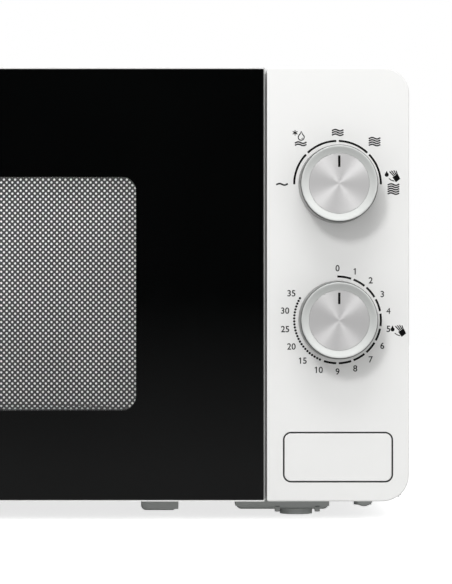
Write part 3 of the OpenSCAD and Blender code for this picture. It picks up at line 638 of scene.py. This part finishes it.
base_bosses = []
for side, word in ((1, "right"), (-1, "left")):
    ends = sorted((side * (foot_x - BOSS_INNER), side * (foot_x + BOSS_OUTER)))
    parts = [boss_mesh(*ends, BOSS_HIGH, BOSS_DEEP, BOSS_R)]
    for nib_x in (side * foot_x - NIB_OFFSET, side * foot_x + NIB_OFFSET):
        parts.append(boss_mesh(nib_x - NIB_WIDE / 2, nib_x + NIB_WIDE / 2, NIB_HIGH, NIB_DEEP, NIB_R))
    base_bosses.append(piece(f"base_boss_{word}", join(*parts), grey_base, "oven"))
middle_x = foot_x - MIDDLE_OFFSET
middle_boss = piece("base_boss_middle", boss_mesh(middle_x - MIDDLE_WIDE / 2, middle_x + MIDDLE_WIDE / 2,
                                                  MIDDLE_HIGH, BOSS_DEEP, MIDDLE_R), grey_base, "oven")
print("base bosses from", round(boss_front / MM, 1), "mm back")

# %% Base stud
stud_at = Vector((panel_high.x - STUD_FROM_SIDE, boss_front + STUD_LONG / 2, panel_low.z))
stud_mesh = bmesh.new()
bmesh.ops.create_cone(stud_mesh, cap_ends=True, segments=40, radius1=STUD_R, radius2=STUD_R, depth=STUD_LONG,
                      matrix=Matrix.Translation(stud_at) @ Matrix.Rotation(math.pi / 2, 4, "X"))
end_rims = [e for e in stud_mesh.edges if abs(e.verts[0].co.y - e.verts[1].co.y) < 1e-6]
bmesh.ops.bevel(stud_mesh, geom=end_rims, offset=1.2 * MM, segments=4, profile=0.5, affect="EDGES",
                material=-1)
stud = piece("base_stud", stud_mesh, grey_base, "oven")
print("stud", round(STUD_FROM_SIDE / MM, 1), "mm in from the side")

# %% [markdown]
# ## The door glass
# The glass covers the whole door. Its back is printed black except for the window, so it is built
# as a black plate with a window-shaped hole and a clear pane that fills it.

# %% Door glass and window pane
def glass_rim(inset):
    return box_rim(glass_low, glass_high, inset, (CORNER_R - 1 * MM - inset, 0.5 * MM - inset), steps=14)


def window_rim(inset):
    return box_rim(window_low, window_high, inset, WINDOW_R - inset)


glass_mesh = plate_mesh([glass_rim, window_rim], glass_low.y, glass_high.y, 0.35 * MM, 0.1 * MM)
glass = piece("door_glass_black", glass_mesh, black_glass, "door", "door_glass")
PANE_EDGE = 0.05 * MM
pane_mesh = plate_mesh([lambda inset: window_rim(inset + 0.02 * MM)], glass_low.y + PANE_EDGE,
                       glass_high.y - PANE_EDGE, PANE_EDGE, PANE_EDGE)
pane = piece("door_window_pane", pane_mesh, window_glass, "door", "door_glass")
print("door glass:", len(glass.data.polygons), "faces; pane:", len(pane.data.polygons))

# %% [markdown]
# ## The perforated screen
# Behind the window a thin steel sheet keeps the microwaves in. Its round holes stand in staggered
# rows. Thousands of holes need a shape with very few faces: one diamond tile with an eight-sided
# hole is made once, paired with its neighbour, and repeated by two Array modifiers, whose result
# becomes the piece's own mesh. A solid border joins it to the frame.

# %% Screen tile
HOLE_PITCH = 3.19 * MM
HOLE_R = 0.68 * MM
SCREEN_T = 0.5 * MM
screen_low, screen_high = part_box("door_screen")


def screen_tile():
    """Two diamonds, each with a round hole, that repeat without a gap."""
    mesh = bmesh.new()
    for shift in ((0, 0), (HOLE_PITCH / 2, HOLE_PITCH / 2)):
        hole = bmesh.ops.create_circle(mesh, segments=8, radius=HOLE_R)["verts"]
        bmesh.ops.rotate(mesh, verts=hole, cent=(0, 0, 0), matrix=Matrix.Rotation(math.pi / 8, 3, "Z"))
        diamond = bmesh.ops.create_circle(mesh, segments=4, radius=HOLE_PITCH / 2)["verts"]
        edges = {e for v in hole + diamond for e in v.link_edges}
        bmesh.ops.bridge_loops(mesh, edges=list(edges))
        bmesh.ops.translate(mesh, vec=(*shift, 0), verts=hole + diamond)
    bmesh.ops.remove_doubles(mesh, verts=mesh.verts, dist=0.000001)
    bmesh.ops.rotate(mesh, verts=mesh.verts, cent=(0, 0, 0), matrix=Matrix.Rotation(math.pi / 2, 3, "X"))
    bmesh.ops.recalc_face_normals(mesh, faces=mesh.faces)
    return mesh


# %% Screen sheets, side by side
SHEETS = 2
margin = 1.5 * MM
span_x = window_high.x - window_low.x + 2 * margin
columns = math.ceil(span_x / HOLE_PITCH / SHEETS)
rows = math.ceil((window_high.z - window_low.z + 2 * margin) / HOLE_PITCH)


def perforated_sheet(number):
    """One half of the screen, from the tile repeated along X and Z."""
    made = piece(f"door_screen_sheet_{number}", screen_tile(), screen_paint, "door", "door_screen")
    for axis, count in ((0, columns), (2, rows)):
        repeat = made.modifiers.new("repeat", "ARRAY")
        repeat.use_relative_offset = False
        repeat.use_constant_offset = True
        repeat.constant_offset_displace = [HOLE_PITCH if k == axis else 0 for k in range(3)]
        repeat.count = count
        repeat.use_merge_vertices = True
        repeat.merge_threshold = 0.00002
    wall = made.modifiers.new("thickness", "SOLIDIFY")
    wall.thickness = SCREEN_T
    wall.offset = 0
    bpy.context.view_layer.update()
    final = bpy.data.meshes.new_from_object(made.evaluated_get(bpy.context.evaluated_depsgraph_get()))
    start = window_low.x - margin + number * columns * HOLE_PITCH
    final.transform(Matrix.Translation((start, (screen_low.y + screen_high.y) / 2, window_low.z - margin)))
    made.modifiers.clear()
    made.data = final
    return made


sheets = [perforated_sheet(number) for number in range(SHEETS)]
print("screen:", columns * SHEETS, "by", rows, "tiles,", [len(s.data.polygons) for s in sheets], "faces")

# %% Solid border of the screen
def screen_rim(inset):
    return box_rim(screen_low, screen_high, inset, 10 * MM - inset)


border_mesh = plate_mesh([screen_rim, window_rim], screen_high.y, screen_high.y + SCREEN_T,
                         0.05 * MM, 0.05 * MM)
border = piece("door_screen_border", border_mesh, screen_paint, "door", "door_screen")
print("screen border:", len(border.data.polygons), "faces")

# %% [markdown]
# ## The knobs
# Each knob is two lathe shapes: a body with a dished ring, a rounded rim and a nearly straight
# side, and a flat spun disc let into its face. Only half of each section is drawn, and bmesh's spin
# turns it round the knob's axis.

# %% Turned shapes
def turned(profile, centre, steps=128):
    """Spins (radius, depth) points about an axis along Y through centre."""
    mesh = bmesh.new()
    verts = [mesh.verts.new((centre.x + r, y, centre.z)) for r, y in profile]
    edges = [mesh.edges.new(pair) for pair in zip(verts, verts[1:])]
    bmesh.ops.spin(mesh, geom=verts + edges, cent=centre, axis=(0, 1, 0), dvec=(0, 0, 0),
                   angle=2 * math.pi, steps=steps, use_merge=True)
    bmesh.ops.remove_doubles(mesh, verts=mesh.verts, dist=0.000002)
    bmesh.ops.recalc_face_normals(mesh, faces=mesh.faces)
    return mesh


def arc(cx, cy, radius, start, end, steps=8):
    """Points along an arc of a section, in degrees."""
    turns = [math.radians(start + (end - start) * k / steps) for k in range(steps + 1)]
    return [(cx + radius * math.cos(a), cy + radius * math.sin(a)) for a in turns]


# %% Sections of the knob
KNOB_RECESS = 1.35 * MM
DISC_R = 17.0 * MM
SHADED_SIDE_R = 21.2 * MM   # faces further out than this get the darker satin copy, painted shade on the knob's side


def knob_profile(front, back, base_r):
    """Half section of the body, from the edge of its disc round to the middle of its back."""
    rim_r, rim_round = 20.9 * MM, 0.9 * MM
    floor = front + KNOB_RECESS
    dish = rim_r - DISC_R - 0.6 * MM
    points = [(0, floor + 0.3 * MM), (DISC_R, floor + 0.3 * MM), (DISC_R, floor - 0.05 * MM)]
    for k in range(1, 9):
        t = k / 8
        points.append((DISC_R + dish * t, floor - 0.05 * MM - (KNOB_RECESS - 0.15 * MM) * t ** 1.2))
    points += arc(rim_r, front + rim_round, rim_round, -100, -4)
    points += [(base_r - 0.45 * MM, front + 10 * MM), (base_r - 0.25 * MM, back - 1 * MM)]
    points += arc(base_r - 0.65 * MM, back - 0.4 * MM, 0.4 * MM, 0, 90)
    points.append((0, back))
    return points


def disc_profile(front):
    """Half section of the spun disc, with a fine bevel round its edge."""
    floor = front + KNOB_RECESS
    edge = DISC_R - 0.05 * MM
    return [(0, floor), (edge - 0.15 * MM, floor), (edge, floor + 0.12 * MM), (edge, floor + 0.28 * MM),
            (0, floor + 0.28 * MM)]


# %% Both knobs
def knob(name):
    """The body and its disc; returns the knob's centre."""
    low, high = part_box(name)
    centre = Vector(((low.x + high.x) / 2, 0, (low.z + high.z) / 2))
    profile = knob_profile(low.y, high.y, (high.x - low.x) / 2)
    body = piece(f"{name}_body", turned(profile, centre), satin_silver, name, name)
    disc = piece(f"{name}_disc", turned(disc_profile(low.y), centre), spun_metal(f"spun_{name}", centre),
                 name, name)
    # The side's faces take the darker copy: painted shade that keeps the knob's side dark.
    body.data.materials.append(knob_side_shade)
    for face in body.data.polygons:
        if math.hypot(face.center.x - centre.x, face.center.z - centre.z) > SHADED_SIDE_R:
            face.material_index = 1
    return centre


knob_centres = {name: knob(name) for name in ("power_knob", "timer_knob")}
print("knobs at", {name: [round(v / MM, 1) for v in at] for name, at in knob_centres.items()})

# %% [markdown]
# ## Strokes of ink
# The dial marks, the pointer and the small pictures are printed. Each stroke is a ribbon: a short
# edge laid across the path and extruded from point to point. A hair of thickness keeps the print in
# front of the panel.

# %% Stroke and filled-shape helpers
def stroke(mesh, path, width, closed=False):
    """A flat ribbon along (x, z) points: its two edges are drawn, then bridged."""
    count = len(path)
    chains = [[], []]
    for k, point in enumerate(path):
        here = Vector(point)
        before = Vector(path[k - 1]) if k or closed else here
        after = Vector(path[(k + 1) % count]) if k < count - 1 or closed else here
        along = (after - before).normalized() * width / 2
        for chain, side in zip(chains, (1, -1)):
            chain.append(mesh.verts.new((here.x - side * along.y, 0, here.y + side * along.x)))
    edges = []
    for chain in chains:
        ends = chain[1:] + chain[:1] if closed else chain[1:]
        edges += [mesh.edges.new(pair) for pair in zip(chain, ends)]
    bmesh.ops.bridge_loops(mesh, edges=edges)


def blot(mesh, points):
    """A filled shape from its outline."""
    verts = [mesh.verts.new((x, 0, z)) for x, z in points]
    edges = [mesh.edges.new(pair) for pair in zip(verts, verts[1:] + verts[:1])]
    bmesh.ops.triangle_fill(mesh, use_beauty=True, edges=edges)


def print_on(name, mesh, y, material, body):
    """Gives a flat print its thickness and lays it on the plane y."""
    bmesh.ops.remove_doubles(mesh, verts=mesh.verts, dist=0.000001)
    bmesh.ops.recalc_face_normals(mesh, faces=mesh.faces)
    for face in mesh.faces:
        if face.normal.y > 0:
            face.normal_flip()
    made = bmesh.ops.extrude_face_region(mesh, geom=mesh.faces[:])["geom"]
    verts = [v for v in made if isinstance(v, bmesh.types.BMVert)]
    bmesh.ops.translate(mesh, vec=(0, -INK, 0), verts=verts)
    bmesh.ops.recalc_face_normals(mesh, faces=mesh.faces)
    bmesh.ops.translate(mesh, vec=(0, y, 0), verts=mesh.verts)
    made = piece(name, mesh, material, body)
    return made


# %% [markdown]
# ## The dials
# Round the power knob, four arcs join five settings, each with a picture made of waves: more waves,
# more power. Round the timer, ten dashes mark the first ten minutes and a row of dots the rest.
# Angles are clockwise from the top, as a clock face is read.

# %% Points round a dial
def on_dial(centre, radius, angle):
    """(x, z) at a clockwise angle from the top, in degrees."""
    a = math.radians(angle)
    return (centre.x + radius * math.sin(a), centre.z + radius * math.cos(a))


def dial_arc(mesh, centre, radius, start, end, width):
    """A stroke that follows the dial between two clockwise angles."""
    steps = max(2, math.ceil(abs(end - start) / 3))
    stroke(mesh, [on_dial(centre, radius, start + (end - start) * k / steps) for k in range(steps + 1)],
           width)


DIAL_R = 24.6 * MM
DIAL_LINE = 1.15 * MM
power_at, timer_at = knob_centres["power_knob"], knob_centres["timer_knob"]

# %% Arcs, dashes and dots
GAP = 3.4   # degrees between two arcs
DOT_R, DOT_STEP, DOTS = 0.68 * MM, 4, 25
rings = bmesh.new()
for quarter in range(4):
    first = -90 if quarter == 0 else -90 + 45 * quarter + GAP / 2
    last = 90 if quarter == 3 else -45 + 45 * quarter - GAP / 2
    dial_arc(rings, power_at, DIAL_R, first, last, DIAL_LINE)
for minute in range(10):
    first = 20 * minute + (GAP / 2 if minute else -0.3)
    dial_arc(rings, timer_at, DIAL_R, first, 20 * (minute + 1) - GAP / 2, DIAL_LINE)
for dot in range(DOTS):
    x, z = on_dial(timer_at, DIAL_R, 200 + DOT_STEP * (dot + 1))
    blot(rings, round_hole(x, z, DOT_R, steps=12))
print_on("dial_rings", rings, FACE_Y, ink_black, "oven")
print("dial radius:", round(DIAL_R / MM, 1), "mm")

# %% [markdown]
# ## The small pictures
# Each picture is drawn from a few strokes: a wave is a short sine, the frost star is three crossed
# strokes, a drop is a circle drawn out to a point, and the hand is a filled palm with four fingers
# and a thumb. They are plain signs, with no lettering.

# %% Waves and drops
STROKE_W = 0.5 * MM


def waves(mesh, centre, at, count):
    """A stack of short waves round the point at, in millimetres from the dial's centre."""
    length, rise, spacing = 6.6 * MM, 0.42 * MM, 1.28 * MM
    width = (0.92 if count == 1 else 0.78) * MM
    for number in range(count):
        base = centre.z + at[1] * MM + spacing * (number - (count - 1) / 2)
        path = []
        for k in range(19):
            t = k / 18
            path.append((centre.x + at[0] * MM + length * (t - 0.5),
                         base + rise * math.sin(math.radians(-36 + 432 * t))))
        stroke(mesh, path, width)


def drop_outline(x, z, radius, height):
    """A circle drawn out to a point at the top."""
    points = [(x, z + height - radius)]
    for k in range(21):
        a = math.radians(60 - 300 * k / 20)
        points.append((x + radius * math.cos(a), z + radius * math.sin(a)))
    return points


# %% Frost star, drops and hands
marks_grey, marks_black = bmesh.new(), bmesh.new()
for at, count in (((-31.5, 0.0), 1), ((-20.9, 23.0), 2), ((0.1, 29.4), 3), ((21.0, 24.2), 4),
                  ((31.7, -2.7), 5)):
    waves(marks_grey, power_at, at, count)
star = Vector((power_at.x - 24.1 * MM, power_at.z + 29.2 * MM))
for angle in (0, 60, 120):
    arm = Vector((math.sin(math.radians(angle)), math.cos(math.radians(angle)))) * 1.55 * MM
    stroke(marks_black, [star - arm, star + arm], STROKE_W)
drop_at = Vector((power_at.x - 20.6 * MM, 0, power_at.z + 26.7 * MM))
stroke(marks_black, drop_outline(drop_at.x, drop_at.z, 1.7 * MM, 5.0 * MM), 0.55 * MM, closed=True)
dial_arc(marks_black, drop_at, 0.9 * MM, 110, 170, 0.35 * MM)


# %% A drop beside a hand
def drop_and_hand(x, z):
    """A filled drop, and a hand with spread fingers to its right."""
    blot(marks_black, drop_outline(x, z - 0.5 * MM, 1.15 * MM, 3.4 * MM))
    palm = [(3.2, -1.9), (5.2, -4.7), (7.7, -2.8), (6.2, 0.1)]
    blot(marks_black, [(x + a * MM, z + b * MM) for a, b in palm])
    fingers = (((1.6, 1.35), (4.0, -1.2)), ((2.7, 1.8), (4.6, -0.7)), ((4.0, 2.0), (5.3, -0.4)),
               ((5.3, 1.8), (5.95, -0.1)))
    for tip, root in fingers:
        path = [(x + a * MM, z + b * MM) for a, b in (tip, root)]
        stroke(marks_black, path, 0.58 * MM)
    thumb = [(1.3, -2.6), (2.4, -3.5), (4.3, -4.1)]
    stroke(marks_black, [(x + a * MM, z + b * MM) for a, b in thumb], STROKE_W)


drop_and_hand(power_at.x + 27.9 * MM, power_at.z + 5.9 * MM)
drop_and_hand(timer_at.x + 31.2 * MM, timer_at.z - 4.9 * MM)
print_on("power_waves", marks_grey, FACE_Y, ink_grey, "oven")
pictures = print_on("dial_pictures", marks_black, FACE_Y, ink_black, "oven")
print("pictures:", len(pictures.data.polygons), "faces")

# %% [markdown]
# ## The timer's numbers
# Numbers are text objects, because a font already has well drawn figures. Text is a curve, so each
# one is turned into a mesh before it is put in its place and given the thickness of ink.

# %% One number
NUMBER_H = 3.6 * MM
NUMBER_R, WIDE_NUMBER_R = 29.3 * MM, 30.2 * MM   # from the dial's centre, for one and two figures
FIGURE_SHARE = 0.72   # a figure's height over its font size
INK_SPREAD = 0.00006


def number_mesh(text, x, z):
    """A flat mesh of the figures of text, upright and centred on (x, z)."""
    data = bpy.data.curves.new("figures", "FONT")
    data.body = text
    data.align_x = "CENTER"
    data.align_y = "CENTER"
    data.size = NUMBER_H / FIGURE_SHARE
    data.resolution_u = 4
    data.offset = 0 if text == "4" else INK_SPREAD   # a heavier 4 would close its own hole
    figure = bpy.data.objects.new("figures", data)
    bpy.context.scene.collection.objects.link(figure)
    bpy.context.view_layer.update()
    flat = bpy.data.meshes.new_from_object(figure.evaluated_get(bpy.context.evaluated_depsgraph_get()))
    middle_x = (min(v.co.x for v in flat.vertices) + max(v.co.x for v in flat.vertices)) / 2
    middle_y = (min(v.co.y for v in flat.vertices) + max(v.co.y for v in flat.vertices)) / 2
    stand = Matrix.Translation((x, 0, z)) @ Matrix.Rotation(math.pi / 2, 4, "X")
    flat.transform(stand @ Matrix.Translation((-middle_x, -middle_y, 0)))
    bpy.data.objects.remove(figure)
    bpy.data.curves.remove(data)
    return flat


# %% All numbers, with a flag on each 1
numbers = bmesh.new()
minutes = [*range(11), 15, 20, 25, 30, 35]
for place_no, minute in enumerate(minutes):
    x, z = on_dial(timer_at, NUMBER_R if minute < 10 else WIDE_NUMBER_R, 20 * place_no)
    flat = number_mesh(str(minute), x, z)
    numbers.from_mesh(flat)
    if str(minute).startswith("1"):
        left = min(v.co.x for v in flat.vertices)
        top = max(v.co.z for v in flat.vertices)
        stroke(numbers, [(left + 0.3 * MM, top - 0.2 * MM), (left - 0.55 * MM, top - 0.85 * MM)], 0.45 * MM)
    bpy.data.meshes.remove(flat)
print_on("timer_numbers", numbers, FACE_Y, ink_grey, "oven")
print("numbers:", minutes)

# %% [markdown]
# ## The pointers
# A short black line is printed on each knob's disc. It rides on the knob, so it turns with it.

# %% Pointers
POINTER_IN, POINTER_OUT, POINTER_W = 9.2 * MM, 15.6 * MM, 1.3 * MM
for name, centre in knob_centres.items():
    line = bmesh.new()
    stroke(line, [on_dial(centre, POINTER_IN, 0), on_dial(centre, POINTER_OUT, 0)], POINTER_W)
    print_on(f"{name}_pointer", line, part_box(name)[0].y + KNOB_RECESS, ink_black, name)
print("pointers:", round((POINTER_OUT - POINTER_IN) / MM, 1), "mm long")

# %% [markdown]
# ## Lights and surroundings
# The key stands above the camera, to the left, and throws the knobs' soft shadows to the lower
# right. A fill from above brightens the top of the panel and leaves the floor out. A spun disc
# shows one ray for each light, so a second box on the right is linked to the knobs alone and crosses
# the key's ray. A box under the cavity's roof does the work of the oven's lamp, and a low one lights
# only the base and the feet.
#
# The world is white to the camera and bright from the sides, but dark straight ahead of the door, as
# a black card round the lens would make it, so that the glass stays deep black.

# %% Soft boxes
def soft_box(name, place, target, size, power):
    """A rectangular light at place that faces target."""
    data = bpy.data.lights.new(name, "AREA")
    data.shape = "RECTANGLE"
    data.size, data.size_y = size
    data.energy = power
    made = bpy.data.objects.new(name, data)
    bpy.context.scene.collection.objects.link(made)
    made.location = place
    made.rotation_euler = (Vector(target) - Vector(place)).to_track_quat("-Z", "Y").to_euler()
    return made


# %% Lights on the front and in the cavity
target = (0.18, FACE_Y, 0.15)
BOX_SIZE = (0.26, 0.26)
soft_box("key_left", (-0.24, -1.4, 0.9), target, BOX_SIZE, 7.2)
top_fill = soft_box("top_fill", (0.12, -0.62, 0.95), (0.12, FACE_Y, 0.26), (0.5, 0.3), 2.7)
knob_light = soft_box("knob_light", (0.9, -1.25, 0.82), target, BOX_SIZE, 9.5)
for_knobs = bpy.data.collections.new("lit_by_knob_light")
knob_light.light_linking.receiver_collection = for_knobs
for part in [o for o in bpy.data.objects if o.name.endswith(("knob_disc", "knob_body"))]:
    for_knobs.objects.link(part)
cavity_low, cavity_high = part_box("cavity_walls")
cavity_mid = (cavity_low + cavity_high) / 2
soft_box("cavity_light", (cavity_mid.x, cavity_low.y + 0.06, cavity_high.z - 0.012),
         (cavity_mid.x, cavity_high.y, cavity_mid.z - 0.06), (0.24, 0.06), 0.6)

# %% World
SURROUND, BELOW = 0.8, 0.25   # brightness of the sides, and of the ground in reflections
world = bpy.data.worlds.new("studio")
bpy.context.scene.world = world
world.use_nodes = True
sky = world.node_tree
for node in list(sky.nodes):
    sky.nodes.remove(node)
output = sky.nodes.new("ShaderNodeOutputWorld")
direction = sky.nodes.new("ShaderNodeTexCoord").outputs["Generated"]
parts = sky.nodes.new("ShaderNodeSeparateXYZ")
sky.links.new(direction, parts.inputs[0])
ahead = math_node(sky, "MULTIPLY", parts.outputs["Y"], -1.0)
card = remap(sky, ahead, 0.90, 0.965, SURROUND, 0.0)
below = remap(sky, parts.outputs["Z"], -0.01, -0.072, 0.0, BELOW)
level = math_node(sky, "MAXIMUM", card, below)
surround = sky.nodes.new("ShaderNodeBackground")
sky.links.new(level, surround.inputs["Strength"])
backdrop = sky.nodes.new("ShaderNodeBackground")
for shade in (surround, backdrop):
    shade.inputs["Color"].default_value = (1, 1, 1, 1)
switch = sky.nodes.new("ShaderNodeMixShader")
sky.links.new(sky.nodes.new("ShaderNodeLightPath").outputs["Is Camera Ray"], switch.inputs["Fac"])
sky.links.new(surround.outputs[0], switch.inputs[1])
sky.links.new(backdrop.outputs[0], switch.inputs[2])
sky.links.new(switch.outputs[0], output.inputs["Surface"])
print("world:", len(sky.nodes), "nodes")

# %% [markdown]
# ## The floor
# A pale sheet that begins a third of a metre in front of the oven. It glows a little to the camera
# alone, which keeps it almost white, and it looks dim in the glass.

# %% Floor finish
pale_floor = finish("pale_floor", (0.92, 0.92, 0.92), 0.7, tone=0.01)
tree = pale_floor.node_tree
ray = tree.nodes.new("ShaderNodeLightPath")
shader = tree.nodes["Principled BSDF"]
shader.inputs["Emission Color"].default_value = (1, 1, 1, 1)
tree.links.new(math_node(tree, "MULTIPLY", ray.outputs["Is Camera Ray"], 0.75),
               shader.inputs["Emission Strength"])
dim = tree.nodes.new("ShaderNodeEmission")
dim.inputs["Strength"].default_value = BELOW
pick = tree.nodes.new("ShaderNodeMixShader")
tree.links.new(ray.outputs["Is Glossy Ray"], pick.inputs["Fac"])
tree.links.new(shader.outputs[0], pick.inputs[1])
tree.links.new(dim.outputs[0], pick.inputs[2])
tree.links.new(pick.outputs[0], tree.nodes["Material Output"].inputs["Surface"])
print("floor finish:", pale_floor.name)

# %% Floor
FLOOR_HALF_X, FLOOR_HALF_Y, FLOOR_AHEAD = 3, 2, 0.33   # metres; FLOOR_AHEAD is in front of the oven
floor_mesh = bmesh.new()
bmesh.ops.create_grid(floor_mesh, x_segments=1, y_segments=1, size=1.0)
bmesh.ops.scale(floor_mesh, vec=(FLOOR_HALF_X, FLOOR_HALF_Y, 1), verts=floor_mesh.verts)
bmesh.ops.translate(floor_mesh, vec=(0, FACE_Y - FLOOR_AHEAD + FLOOR_HALF_Y, 0), verts=floor_mesh.verts)
floor_data = bpy.data.meshes.new("floor")
floor_mesh.to_mesh(floor_data)
floor_mesh.free()
floor_data.materials.append(pale_floor)
floor = bpy.data.objects.new("floor", floor_data)
bpy.context.scene.collection.objects.link(floor)
print("floor:", 2 * FLOOR_HALF_X, "by", 2 * FLOOR_HALF_Y, "m")

# %% Lights linked to the base and kept off the floor
low_fill = soft_box("low_fill", (0.16, -1.3, 0.06), (0.16, FACE_Y, 0.005), (0.6, 0.1), 3)
under = bpy.data.collections.new("lit_by_low_fill")
low_fill.light_linking.receiver_collection = under
for part in (nodes["base_plate"], nodes["feet"], middle_boss, stud, *base_bosses):
    under.objects.link(part)
off_floor = bpy.data.collections.new("not_lit_by_top_fill")
off_floor.objects.link(floor)
off_floor.collection_objects[0].light_linking.link_state = "EXCLUDE"
top_fill.light_linking.receiver_collection = off_floor
